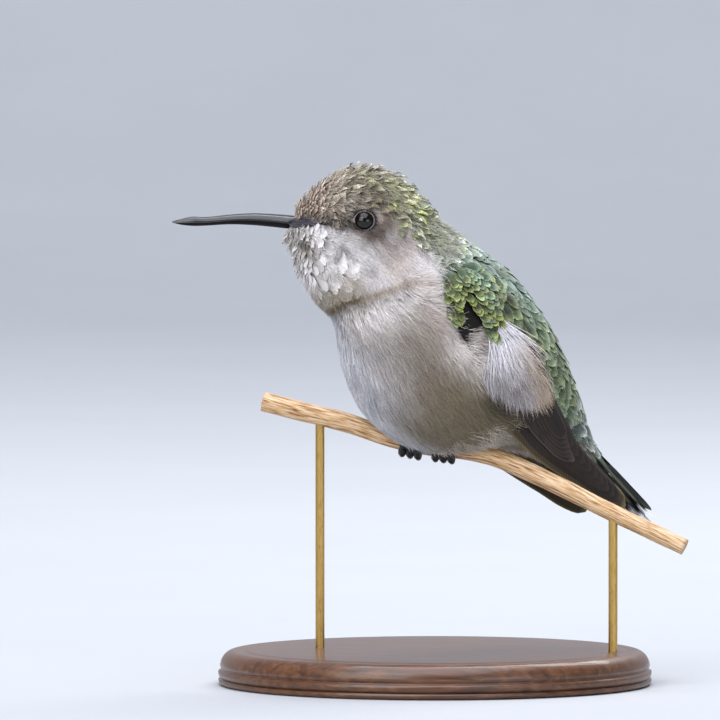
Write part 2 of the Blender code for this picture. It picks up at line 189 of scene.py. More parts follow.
def streaks(places: "Places", width: float, seed: int) -> Array:
    """Smooth random values drawn out along the lie of the coat.

    Args:
        places: Places on the body.
        width: Width of a streak in millimetres.
        seed: Which pattern.

    Returns:
        Values around 0, mostly between -1 and 1.
    """
    flat = np.stack([places.run * 0.7, places.drop * 25, places.side * 7], -1)
    return mottle(flat, width * 1.5, seed)


def smooth_between(stations: Array, places: Array) -> Array:
    """Reads a smooth curve through rows of stations.

    Args:
        stations: One row of values for each station.
        places: Where to read, counted in stations.

    Returns:
        One row of values for each place.
    """
    stations = np.asarray(stations, float)
    padded = np.vstack([2 * stations[0] - stations[1], stations, 2 * stations[-1] - stations[-2]])
    places = np.asarray(places, float)
    start = np.clip(np.floor(places).astype(int), 0, len(stations) - 2)
    t = (places - start)[:, None]
    a, b, c, d = (padded[start + k] for k in range(4))
    return 0.5 * (2 * b + (c - a) * t + (2 * a - 5 * b + 4 * c - d) * t**2 + (3 * b - a - 3 * c + d) * t**3)


def add_node(tree: bpy.types.NodeTree, kind: str, settings: dict[str | int, object],
             links: Optional[dict[str | int, bpy.types.NodeSocket]] = None) -> bpy.types.Node:
    """Adds a node with its settings and links.

    Args:
        tree: The material's node tree.
        kind: The node's class name.
        settings: Node properties, by lower-case name, and unlinked inputs, by capital name or number.
        links: The output that feeds each input, by the input's name or number.

    Returns:
        The new node.
    """
    node = tree.nodes.new(kind)
    for name, value in settings.items():
        if isinstance(name, str) and name[0].islower():
            setattr(node, name, value)
        else:
            node.inputs[name].default_value = value
    for name, source in (links or {}).items():
        tree.links.new(source, node.inputs[name])
    return node


def new_material(name: str, inputs: dict[str, float]) -> tuple[Material, bpy.types.NodeTree, bpy.types.Node]:
    """Makes a node material.

    Args:
        name: The material's name.
        inputs: Values for its shader, by the input's name.

    Returns:
        The material, its node tree and its Principled shader.
    """
    material = bpy.data.materials.new(name)
    material.use_nodes = True
    shader = material.node_tree.nodes["Principled BSDF"]
    for key, value in inputs.items():
        shader.inputs[key].default_value = value
    return material, material.node_tree, shader


def ramp(tree: bpy.types.NodeTree, factor: bpy.types.NodeSocket,
         stops: tuple[tuple[float, str], ...]) -> bpy.types.NodeSocket:
    """Adds a colour ramp.

    Args:
        tree: The material's node tree.
        factor: The output that drives the ramp.
        stops: Place and sRGB hex colour of each stop, in order.

    Returns:
        The ramp's colour output.
    """
    node = add_node(tree, "ShaderNodeValToRGB", {}, {"Fac": factor})
    elements = node.color_ramp.elements
    for _ in stops[2:]:
        elements.new(0.5)
    for element, (place, colour) in zip(elements, stops):
        element.position = place
        element.color = (*linear(colour), 1)
    return node.outputs["Color"]


class Map(Enum):
    """Names of the data that meshes carry for their materials."""

    COLOUR = "coat"
    VANE = "vane"
    FIBRE = "fibre"
    BAKE = "OFBake"


@dataclass
class Shape:
    """Points and quads of a mesh that is being made, in millimetres, with what its material reads."""

    points: Array
    quads: Array
    colours: Optional[Array] = None
    vane: Optional[Array] = None
    fibre: Optional[Array] = None
    bake: Optional[Array] = None

    @classmethod
    def of_rings(cls, rings: Array, flipped: bool = False, **data: Array) -> "Shape":
        """A band of rings, each of which meets itself.

        Args:
            rings: The rings' points, rows x columns x 3.
            flipped: Whether the faces are turned over.
            data: Colours, vane or fibre of the points, in the rings' shape.

        Returns:
            The shape.
        """
        quads = grid_quads(*rings.shape[:2], True)
        flat = {name: values.reshape(-1, 3) for name, values in data.items()}
        return cls(rings.reshape(-1, 3), quads[:, ::-1] if flipped else quads, **flat)

    def to_object(self, name: str, material: Material) -> bpy.types.Object:
        """Makes the object and lets it ride on the body.

        Args:
            name: The new object's name.
            material: Its finish.

        Returns:
            The new object, linked to the scene.
        """
        mesh = bpy.data.meshes.new(name)
        mesh.vertices.add(len(self.points))
        mesh.vertices.foreach_set("co", (self.points * MM).astype(np.float32).ravel())
        mesh.loops.add(self.quads.size)
        mesh.loops.foreach_set("vertex_index", self.quads.astype(np.int32).ravel())
        mesh.polygons.add(len(self.quads))
        starts = np.arange(0, self.quads.size, self.quads.shape[1], dtype=np.int32)
        mesh.polygons.foreach_set("loop_start", starts)
        mesh.update(calc_edges=True)
        if self.colours is not None:
            layer = mesh.color_attributes.new(Map.COLOUR.value, "FLOAT_COLOR", "POINT")
            rgba = np.concatenate([self.colours, np.ones((len(self.colours), 1))], 1)
            layer.data.foreach_set("color", rgba.astype(np.float32).ravel())
        for key, values in ((Map.VANE, self.vane), (Map.FIBRE, self.fibre)):
            if values is not None:
                layer = mesh.attributes.new(key.value, "FLOAT_VECTOR", "POINT")
                layer.data.foreach_set("vector", values.astype(np.float32).ravel())
        if self.bake is not None:
            layer = mesh.uv_layers.new(name=Map.BAKE.value)
            layer.data.foreach_set("uv", self.bake[self.quads.ravel()].astype(np.float32).ravel())
        mesh.validate()
        mesh.shade_smooth()
        mesh.materials.append(material)
        made = bpy.data.objects.new(name, mesh)
        bpy.context.scene.collection.objects.link(made)
        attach(made, BODY)
        log.info("%s: %d faces", name, len(self.quads))
        return made


def grid_quads(rows: int, columns: int, wraps: bool = False) -> Array:
    """Quads of a grid of points that is numbered row by row.

    Args:
        rows: Number of rows.
        columns: Number of columns.
        wraps: Whether the last column meets the first.

    Returns:
        Point numbers, quads x 4.
    """
    across = columns if wraps else columns - 1
    near = (np.arange(rows - 1)[:, None] * columns + np.arange(across)[None]).ravel()
    right = np.where((near + 1) % columns == 0, near + 1 - columns, near + 1) if wraps else near + 1
    return np.stack([near, right, right + columns, near + columns], -1)


def tube(path: Array, radii: Array, sides: int) -> tuple[Array, Array]:
    """Rings round a path.

    Args:
        path: Points of the path, n x 3.
        radii: Its radius at each.
        sides: Points round each ring.

    Returns:
        The ring points, n x sides x 3, and the outward directions, in the same shape.
    """
    along = unit(np.gradient(path, axis=0))
    up = np.array([0.0, 0.0, 1.0]) if abs(along[0][2]) < 0.9 else np.array([0.0, 1.0, 0.0])
    frames = []
    for direction in along:
        up = unit(up - direction * (up @ direction))
        frames.append((np.cross(direction, up), up))
    turn = circle(sides)[None, :, None]
    side, over = (np.array([f[k] for f in frames])[:, None] for k in (0, 1))
    out = side * np.cos(turn) + over * np.sin(turn)
    return path[:, None] + out * np.asarray(radii)[:, None, None], unit(out)


def closed_tube(path: Array, radii: Array, sides: int) -> Shape:
    """A tube whose ends shrink to points.

    Args:
        path: Points of the path, n x 3.
        radii: Its radius at each.
        sides: Points round each ring.

    Returns:
        The shape.
    """
    path = np.vstack([path[:1], path, path[-1:]])
    path[0] += (path[1] - path[2]) * 1e-3
    path[-1] += (path[-2] - path[-3]) * 1e-3
    radii = np.concatenate([[radii[0] * CLOSED], radii, [radii[-1] * CLOSED]])
    return Shape.of_rings(tube(path, radii, sides)[0])


def shrunk(ring: Array, share: float) -> Array:
    """A ring of points, n x 3, drawn in round its middle to a share of its size."""
    middle = ring.mean(0)
    return middle + (ring - middle) * share


def joined(shapes: list[Shape]) -> Shape:
    """Puts shapes of the same kind into one.

    Args:
        shapes: Shapes whose optional data are all there or all missing.

    Returns:
        One shape.
    """
    starts = np.cumsum([0] + [len(s.points) for s in shapes[:-1]])

    def stack(name: str) -> Optional[Array]:
        """The named data of all the shapes, or None."""
        values = [getattr(s, name) for s in shapes]
        return None if values[0] is None else np.concatenate(values)

    quads = np.concatenate([s.quads + start for s, start in zip(shapes, starts)])
    return Shape(stack("points"), quads, stack("colours"), stack("vane"), stack("fibre"), stack("bake"))


# ------------------------------------------------------------------ surfaces and what grows on them


def drop_of(turn: Array) -> Array:
    """How far round from the back to the breast a turn is, 0 to 1, on either side."""
    return 2 * np.minimum(turn % 1, 1 - turn % 1)


@dataclass
class Places:
    """Roots of feathers on a surface; side is 1 on the bird's right and -1 on its left."""

    run: Array
    turn: Array
    points: Array
    normals: Array
    side: Array

    @property
    def drop(self) -> Array:
        """How far round from the back to the breast, 0 to 1."""
        return drop_of(self.turn)

    def chosen(self, which: Array) -> "Places":
        """The places that a list of numbers picks."""
        return Places(*(v[which] for v in (self.run, self.turn, self.points, self.normals, self.side)))


@dataclass
class Trails:
    """Lines that feathers follow over a surface: places x steps x 3 each."""

    points: Array
    normals: Array
    along: Array

    @property
    def across(self) -> Array:
        """Directions across the lines, in the surface."""
        return np.cross(self.normals, self.along)


Flow = Callable[[Array, Array, Array, Array, Array], Array]
Region = Callable[[Array, Array], Array]  # of run and turn


class Surface:
    """A curved sheet laid out by run and turn."""

    def __init__(self, points: Array, run_end: float, wraps: bool, facing: float = 1.0) -> None:
        """Works out directions and normals.

        Args:
            points: The sheet's points, rows x columns x 3.
            run_end: Value of run in the last row.
            wraps: Whether turn goes once round and meets itself.
            facing: -1 turns the normals over.
        """
        rows, columns = points.shape[:2]
        self.run_end, self.wraps = run_end, wraps
        by_run = np.gradient(points, axis=0) * (rows - 1) / run_end
        if wraps:
            by_turn = (np.roll(points, -1, 1) - np.roll(points, 1, 1)) * columns / 2
        else:
            by_turn = np.gradient(points, axis=1) * (columns - 1)
        normals = unit(np.cross(by_run, by_turn)) * facing
        self.points, self.normals = points, normals
        self.table = np.concatenate([points, by_run, by_turn, normals], -1)
        self.areas = np.linalg.norm(np.cross(by_run, by_turn), axis=-1)
        self.areas *= run_end / (rows - 1) / (columns if wraps else columns - 1)

    def read(self, run: Array, turn: Array) -> tuple[Array, Array, Array, Array]:
        """Reads the sheet at any places; beyond its last row it goes on straight.

        Args:
            run: Run of each place.
            turn: Turn of each place.

        Returns:
            Points, change of point with run, change with turn, and normals.
        """
        rows, columns = self.table.shape[:2]
        inside = np.clip(run, 0, self.run_end)
        x = inside / self.run_end * (rows - 1)
        y = (turn % 1) * columns if self.wraps else np.clip(turn, 0, 1) * (columns - 1)
        i = np.minimum(x.astype(int), rows - 2)
        j = np.minimum(y.astype(int), columns - 1)
        right = (j + 1) % columns if self.wraps else np.minimum(j + 1, columns - 1)
        fx, fy = (x - i)[:, None], (y - j)[:, None]
        near = self.table[i, j] * (1 - fy) + self.table[i, right] * fy
        far = self.table[i + 1, j] * (1 - fy) + self.table[i + 1, right] * fy
        value = near * (1 - fx) + far * fx
        by_run = value[:, 3:6]
        points = value[:, :3] + (run - inside)[:, None] * by_run
        return points, by_run, value[:, 6:9], unit(value[:, 9:])

    def side_of(self, turn: Array) -> Array:
        """1 where turn grows from the back to the breast, and -1 where it grows from breast to back."""
        return np.where(turn % 1 < 0.5, 1.0, -1.0) if self.wraps else np.ones_like(turn)

    def places(self, run: Array, turn: Array) -> Places:
        """The places at these runs and turns."""
        points, _, _, normals = self.read(run, turn)
        return Places(run, turn, points, normals, self.side_of(turn))

    def scattered(self, count: int, density: Region, seed: int) -> Places:
        """Throws places at random, more where density is higher.

        Args:
            count: How many.
            density: Relative number for each square millimetre at run and turn.
            seed: Which random numbers.

        Returns:
            The places.
        """
        dice = np.random.default_rng(seed)
        rows, columns = self.areas.shape
        spans = columns if self.wraps else columns - 1
        run = (np.arange(rows - 1) + 0.5)[:, None] * self.run_end / (rows - 1)
        turn = (np.arange(spans) + 0.5)[None] / spans
        run, turn = np.broadcast_arrays(run, turn)
        weight = self.areas[:-1, :spans] * np.clip(density(run, turn), 0, None)
        share = np.cumsum(weight.ravel())
        cell = np.searchsorted(share, dice.uniform(0, share[-1], count))
        run = run.ravel()[cell] + dice.uniform(-0.5, 0.5, count) * self.run_end / (rows - 1)
        turn = turn.ravel()[cell] + dice.uniform(-0.5, 0.5, count) / spans
        return self.places(run, turn)

    def spaced(self, spacing: Region, seed: int, most: int = 60000) -> Places:
        """Fills the surface with places that keep a distance from each other.

        Args:
            spacing: Distance in millimetres at run and turn; none grow where it is 0.
            seed: Which random numbers.
            most: How many places are tried.

        Returns:
            The places.
        """

        def density(run: Array, turn: Array) -> Array:
            """More tries where the places are closer."""
            gap = spacing(run, turn)
            return np.where(gap > 0, 1 / np.maximum(gap, 0.1) ** 2, 0)

        tried = self.scattered(most, density, seed)
        gaps = spacing(tried.run, tried.turn)
        cell = max(float(gaps.max()), 0.1)
        homes = np.floor(tried.points / cell).astype(int)
        taken: dict[tuple[int, int, int], list[int]] = {}
        kept = []
        points = tried.points
        for n, (i, j, k) in enumerate(map(tuple, homes)):
            near = [m for a in (-1, 0, 1) for b in (-1, 0, 1) for c in (-1, 0, 1)
                    for m in taken.get((i + a, j + b, k + c), ())]
            if gaps[n] <= 0:
                continue
            if near and np.min(np.sum((points[near] - points[n]) ** 2, 1)) < gaps[n] ** 2:
                continue
            taken.setdefault((i, j, k), []).append(n)
            kept.append(n)
        return tried.chosen(np.array(kept, int))

    def trails(self, roots: Places, length: Array, shares: Array, flow: Flow) -> Trails:
        """Walks over the surface from each root.

        Args:
            roots: Where the lines start.
            length: Length of each line in millimetres.
            shares: How far along the line each of its points lies, from 0 to 1.
            flow: Gives directions from points, change with run and turn, normals and drop's side.

        Returns:
            The lines.
        """
        run, turn = roots.run.copy(), roots.turn.copy()
        lines: list[tuple[Array, Array, Array]] = []
        for step in np.diff(shares, append=1.0):
            stride = length * step
            points, by_run, by_turn, normals = self.read(run, turn)
            along = flow(points, by_run, by_turn, normals, self.side_of(turn))
            lines.append((points, normals, along))
            rr, rt, tt = (np.sum(p * q, -1) for p, q in ((by_run, by_run), (by_run, by_turn), (by_turn, by_turn)))
            p, q = np.sum(along * by_run, -1), np.sum(along * by_turn, -1)
            spread = np.maximum(rr * tt - rt * rt, 1e-6)
            run = run + stride * (tt * p - rt * q) / spread
            turn = turn + stride * (rr * q - rt * p) / spread
        return Trails(*(np.stack([line[k] for line in lines], 1) for k in range(3)))


@dataclass
class Lie:
    """Which way feathers lie: along the surface, turned by an angle, and parted by the eyes."""

    heading: Array
    eyes: Array = field(default_factory=lambda: np.zeros((0, 3)))
    eye_room: float = 2.6

    def __call__(self, points: Array, by_run: Array, by_turn: Array, normals: Array, side: Array) -> Array:
        """Gives directions.

        Args:
            points: Places.
            by_run: Change of place with run.
            by_turn: Change of place with turn.
            normals: Normals.
            side: 1 on the right and -1 on the left.

        Returns:
            Directions of length 1 in the surface.
        """
        along = unit(by_run)
        down = by_turn * side[:, None]
        down = unit(down - along * np.sum(down * along, -1, keepdims=True))
        direction = along * np.cos(self.heading)[:, None] + down * np.sin(self.heading)[:, None]
        for eye in self.eyes:
            away = points - eye
            distance = np.linalg.norm(away, axis=-1, keepdims=True)
            away = away / np.maximum(distance, 1e-6)
            inward = np.minimum(np.sum(direction * away, -1, keepdims=True), 0)
            near = smooth_step(distance, self.eye_room, self.eye_room * 0.6)
            direction = direction - away * inward * near
        direction -= normals * np.sum(direction * normals, -1, keepdims=True)
        return unit(direction)


Rule = Callable[[Places], Array]
Paint = Callable[[Places], tuple[Array, Array]]


def everywhere(value: float) -> Rule:
    """A rule that gives the same value at every place."""
    return lambda places: np.full(len(places.run), value)


def bake_patches(roots: Places, run_end: float, u: Array, v: Array) -> Array:
    """Places each feather on a small patch of the bake map, at its root's place on the skin's unwrap.

    Args:
        roots: The feathers' roots.
        run_end: The run that fills the map.
        u: Place across a feather, -1 to 1, feathers x rows x columns.
        v: Place along it, 0 to 1.

    Returns:
        Map coordinates, one pair for each point.
    """
    patch, margin, used = 0.003, 0.002, 0.99
    x = margin + used * np.clip(roots.run / run_end, 0, 1)
    y = margin + used * (roots.turn % 1)
    return np.stack([x[:, None, None] + patch * v, y[:, None, None] + patch * (u + 1) / 2], -1).reshape(-1, 2)


@dataclass
class Scales:
    """Small overlapping feathers with a visible vane, as on cap, throat, back and wings.

    Each row of sizes gives a run, and there the feathers' distance, length and width in millimetres.
    """

    name: str
    surface: Surface
    inside: Region
    sizes: list[tuple[float, float, float, float]]
    paint: Paint
    seed: int
    heading: Rule = everywhere(0.0)
    height: Rule = everywhere(0.0)
    root_depth: float = 0.4  # mm below the surface
    lift: float = 0.1  # mm that a tip stands off
    camber: float = 0.12
    recede: float = 0.15  # how much the tip's corners lie back, as a share of the width
    tip_width: float = 0.4  # share of the width
    widest: float = 0.6  # where a feather is widest, as a share of its length
    jag: float = 0.09  # raggedness of the tip, as a share of the length
    fringe_from: float = 0.5
    fringe_sides: float = 1.0
    wander: float = 0.14  # radians
    tone: float = 0.12
    streak: float = 0.12
    rows: int = 7
    columns: int = 9

    def size(self, run: Array, which: int) -> Array:
        """Reads one column of the sizes at these runs."""
        return along_table(run, [(row[0], row[which]) for row in self.sizes])

    def build(self, finish: Material, slot: str, eyes: Array, eye_gap: float) -> list[bpy.types.Object]:
        """Grows the feathers.

        Args:
            finish: Their material.
            slot: The record's slot that they stand for; not used.
            eyes: Centres of the eyes.
            eye_gap: How near to an eye's centre a feather may reach.

        Returns:
            The pieces, each with fewer than 200,000 triangles.
        """
        roots = self.surface.spaced(
            lambda run, turn: np.where(self.inside(run, turn), self.size(run, 1), 0), self.seed)
        dice = np.random.default_rng(self.seed + 1)
        count = len(roots.run)
        length = self.size(roots.run, 2) * dice.uniform(0.8, 1.2, count)
        width = self.size(roots.run, 3) * dice.uniform(0.85, 1.15, count)
        heading = self.heading(roots) + dice.normal(0, self.wander, count)
        shares = 1 - (1 - np.linspace(0, 1, self.rows)) ** 1.35
        trail = self.surface.trails(roots, length, shares, Lie(heading, eyes))
        keep = clear_of(trail, eyes, eye_gap)
        data = self.vanes(roots, trail, length, width, shares, dice)
        return pieces_of(self.name, finish, data, np.flatnonzero(keep), self.rows, self.columns)

    def vanes(self, roots: Places, trail: Trails, length: Array, width: Array, shares: Array,
              dice: np.random.Generator) -> dict[str, Array]:
        """Works out points, colours, vane and bake data of all the feathers.

        Args:
            roots: The roots.
            trail: The line that each feather follows.
            length: Each feather's length.
            width: Each feather's greatest width.
            shares: How far along its line each of a feather's rows lies.
            dice: Random numbers.

        Returns:
            Arrays with one row for each point, by the name of Shape's field.
        """
        count = len(length)
        v = shares[None, :, None]
        u = np.linspace(-1, 1, self.columns)[None, None, :]
        grown = 0.3 + 0.7 * smooth_step(v / self.widest)
        past = np.clip((v - self.widest) / (1 - self.widest), 0, 1)
        half = width[:, None, None] / 2 * grown * np.sqrt(1 - (1 - self.tip_width**2) * past**2)
        lift = self.lift * dice.uniform(0.2, 1.8, (count, 1, 1))
        height = self.height(roots)[:, None, None] + dice.uniform(-0.06, 0.06, (count, 1, 1))
        height = height - self.root_depth * (1 - v) ** 1.3 + lift * v**2 - self.camber * half * u**2
        height = height + dice.normal(0, 0.08, (count, 1, 1)) * half * u
        recede = self.recede * width[:, None, None] * u**2 * v**3
        ragged = self.jag * length[:, None, None] * dice.uniform(-1, 0.6, (count, 1, self.columns)) * v**12
        bent = dice.normal(0, 0.05, (count, 1, 1)) * length[:, None, None] * v**2
        across, along = trail.across[:, :, None], trail.along[:, :, None]
        points = trail.points[:, :, None] + across * (half * u + bent)[..., None]
        points = points + trail.normals[:, :, None] * height[..., None] + along * (ragged - recede)[..., None]
        centre, fringe = self.paint(roots)
        edge = np.maximum(self.fringe_sides * np.abs(u) ** 1.5 * smooth_step(v, 0.15, 0.5), v)
        edge = smooth_step(edge * np.ones((count, 1, 1)), self.fringe_from, 1.0)
        tone = 1 + dice.normal(0, self.tone, (count, 1, 1, 1))
        streak = 1 + dice.normal(0, self.streak, (count, 1, self.columns, 1)) * (0.3 + 0.7 * v[..., None])
        colours = mix(centre[:, None, None], fringe[:, None, None], edge) * tone * streak
        vane = np.broadcast_arrays(half * u, length[:, None, None] * v, dice.uniform(0, 50, (count, 1, 1)))
        bake = bake_patches(roots, self.surface.run_end, u + 0 * half, v + 0 * half * u)
        return {"points": points, "colours": np.clip(colours, 0.002, 1), "vane": np.stack(vane, -1), "bake": bake}


def clear_of(trail: Trails, eyes: Array, gap: float) -> Array:
    """Tells which lines stay at least a gap away from every eye's centre.

    Args:
        trail: The lines.
        eyes: Centres of the eyes.
        gap: The least distance in millimetres.

    Returns:
        A mask of the lines.
    """
    keep = np.ones(len(trail.points), bool)
    for eye in eyes:
        keep &= np.min(np.linalg.norm(trail.points - eye, axis=-1), 1) > gap
    return keep


def pieces_of(name: str, finish: Material, data: dict[str, Array], kept: Array, rows: int,
              columns: int) -> list[bpy.types.Object]:
    """Makes objects of many small grids of the same size.

    Args:
        name: Start of the objects' names.
        finish: Their material.
        data: Arrays by the name of Shape's field, one row for each grid at first.
        kept: Numbers of the grids that are made.
        rows: Rows of points in a grid.
        columns: Columns of points in a grid.

    Returns:
        The objects, each with fewer than 200,000 triangles.
    """
    quads, per = grid_quads(rows, columns), rows * columns
    total = data["points"].size // (3 * per)
    per_piece = MOST_TRIANGLES // (2 * len(quads))
    parts = max(1, math.ceil(len(kept) / per_piece))
    made = []
    for number, part in enumerate(np.array_split(kept, parts), 1):
        faces = (quads[None] + (np.arange(len(part)) * per)[:, None, None]).reshape(-1, 4)
        fields = {key: values.reshape(total, per, -1)[part].reshape(len(part) * per, -1)
                  for key, values in data.items()}
        piece = Shape(quads=faces, **fields).to_object(f"{name}_{number}", finish)
        made.append(piece)
    return made


@dataclass
class Strands:
    """Soft plumage that shows as fine loose barbs, as on cheeks, breast and flanks.

    Each row of lengths gives a run, and there the barbs' length in millimetres.
    """

    name: str
    surface: Surface
    density: Region
    tufts: int
    lengths: list[tuple[float, float]]
    paint: Paint
    seed: int
    heading: Rule = everywhere(0.0)
    height: Rule = everywhere(0.0)
    longest: Optional[Rule] = None
    share: Optional[Rule] = None
    width: float = 0.13  # mm, of a barb at its root
    per_tuft: int = 9
    tuft_width: float = 0.5  # mm
    spread: float = 0.22  # radians between a tuft's middle and its side
    root_depth: float = 0.5  # mm below the surface
    lift: float = 0.15  # mm that a tip stands off
    curl: float = 0.0  # mm more at the tip
    wander: float = 0.1  # radians
    shade: float = 0.16
    roll: float = 0.9  # radians that a barb may lie on edge
    lock: float = 0.12  # how much tufts differ in length
    gather: float = 0.0  # how far a tuft's tips draw together
    rows: int = 4

    def build(self, finish: Material, slot: str, eyes: Array, eye_gap: float) -> list[bpy.types.Object]:
        """Grows the barbs.

        Args:
            finish: Their material.
            slot: The record's slot that they stand for; not used.
            eyes: Centres of the eyes.
            eye_gap: How near to an eye's centre a barb may reach.

        Returns:
            The pieces, each with fewer than 200,000 triangles.
        """
        tufts = self.surface.scattered(self.tufts, self.density, self.seed)
        dice = np.random.default_rng(self.seed + 1)
        total = self.tufts * self.per_tuft
        _, by_run, by_turn, _ = self.surface.read(tufts.run, tufts.turn)
        near = tufts.chosen(np.repeat(np.arange(self.tufts), self.per_tuft))
        offset, back = dice.uniform(-1, 1, total), dice.uniform(-1, 1, total)
        turn_size = np.repeat(np.linalg.norm(by_turn, axis=-1), self.per_tuft)
        run_size = np.repeat(np.linalg.norm(by_run, axis=-1), self.per_tuft)
        roots = self.surface.places(
            near.run + back * self.tuft_width / np.maximum(run_size, 0.5),
            near.turn + offset * self.tuft_width / 2 / np.maximum(turn_size, 2.0))
        tilt = np.repeat(dice.normal(0, self.wander, self.tufts), self.per_tuft)
        heading = self.heading(roots) + tilt + offset * roots.side * self.spread
        heading = heading + dice.normal(0, self.wander * 0.5, total)
        length = along_table(roots.run, self.lengths)
        if self.share is not None:
            length = length * self.share(roots)
        if self.longest is not None:
            length = np.minimum(length, self.longest(roots))
        length = length * dice.uniform(0.65, 1.12, total)
        length = length * np.repeat(np.clip(dice.normal(1, self.lock, self.tufts), 0.4, 1.3), self.per_tuft)
        trail = self.surface.trails(roots, length, np.linspace(0, 1, self.rows), Lie(heading, eyes))
        keep = clear_of(trail, eyes, eye_gap)
        ahead = self.surface.places(np.clip(roots.run + 0.6 * length / np.maximum(run_size, 1.0), None,
                                            self.surface.run_end), roots.turn)
        data = self.barbs(roots, ahead, trail, length, offset * roots.side, dice)
        return pieces_of(self.name, finish, data, np.flatnonzero(keep), self.rows, 2)

    def barbs(self, roots: Places, ahead: Places, trail: Trails, length: Array, offset: Array,
              dice: np.random.Generator) -> dict[str, Array]:
        """Works out points, colours and bake data of all the barbs.

        Args:
            roots: The roots.
            ahead: The places near the tips, whose colours the tips take.
            trail: The line that each barb follows.
            length: Each barb's length.
            offset: Where each barb lies in its tuft, from -1 to 1.
            dice: Random numbers.

        Returns:
            Arrays with one row for each point, by the name of Shape's field.
        """
        total = len(length)
        v, u = np.linspace(0, 1, self.rows)[None, :, None], np.array([-1.0, 1.0])[None, None, :]
        roll = dice.uniform(-self.roll, self.roll, (total, 1, 1))
        half = self.width / 2 * dice.uniform(0.7, 1.3, (total, 1, 1)) * (1.02 - v) ** 0.6
        height = self.height(roots)[:, None, None] - self.root_depth * (1 - v) ** 1.2
        height = height + dice.uniform(0.1, 1.9, (total, 1, 1)) * self.lift * v**1.5
        height = height + self.curl * dice.uniform(0.2, 1.0, (total, 1, 1)) * v**1.8
        sway = dice.normal(0, 0.03, (total, 1, 1)) * length[:, None, None] * np.sin(v * 3)
        across, normals = trail.across[:, :, None], trail.normals[:, :, None]
        facing = across * np.cos(roll)[..., None] + normals * np.sin(roll)[..., None]
        points = trail.points[:, :, None] + facing * (half * u)[..., None] + across * sway[..., None]
        points = points + normals * height[..., None]
        inwards = offset * self.tuft_width / 2 * self.gather
        points = points - across * (inwards[:, None, None] * v)[..., None]
        root_colour, tip_colour = self.paint(roots)[0], self.paint(ahead)[1]
        tuft_shade = np.repeat(dice.normal(0, self.shade * 0.6, (self.tufts, 1)), self.per_tuft, axis=0)
        shade = np.clip(1 + dice.normal(0, self.shade, (total, 1)) + tuft_shade, 0.35, 1.4)
        share = v + 0 * half * u
        colours = mix((root_colour * shade)[:, None, None], (tip_colour * shade)[:, None, None], share)
        bake = bake_patches(roots, self.surface.run_end, u + 0 * half, share)
        return {"points": points, "colours": np.clip(colours, 0.002, 1), "bake": bake}


# ------------------------------------------------------------------ the body's form and markings


def colours_along(value: Array, stops: list[tuple[float, str]]) -> Array:
    """Reads a row of colours.

    Args:
        value: Where to read.
        stops: Value and sRGB hex colour of each stop, in order.

    Returns:
        Linear colours, ... x 3.
    """
    table = np.array([linear(colour) for _, colour in stops])
    places = [place for place, _ in stops]
    return np.stack([np.interp(value, places, table[:, k]) for k in range(3)], -1)


def along_table(value: Array, table: list[tuple[float, float]]) -> Array:
    """Reads a table of pairs, with straight lines between them."""
    return np.interp(value, [place for place, _ in table], [reading for _, reading in table])


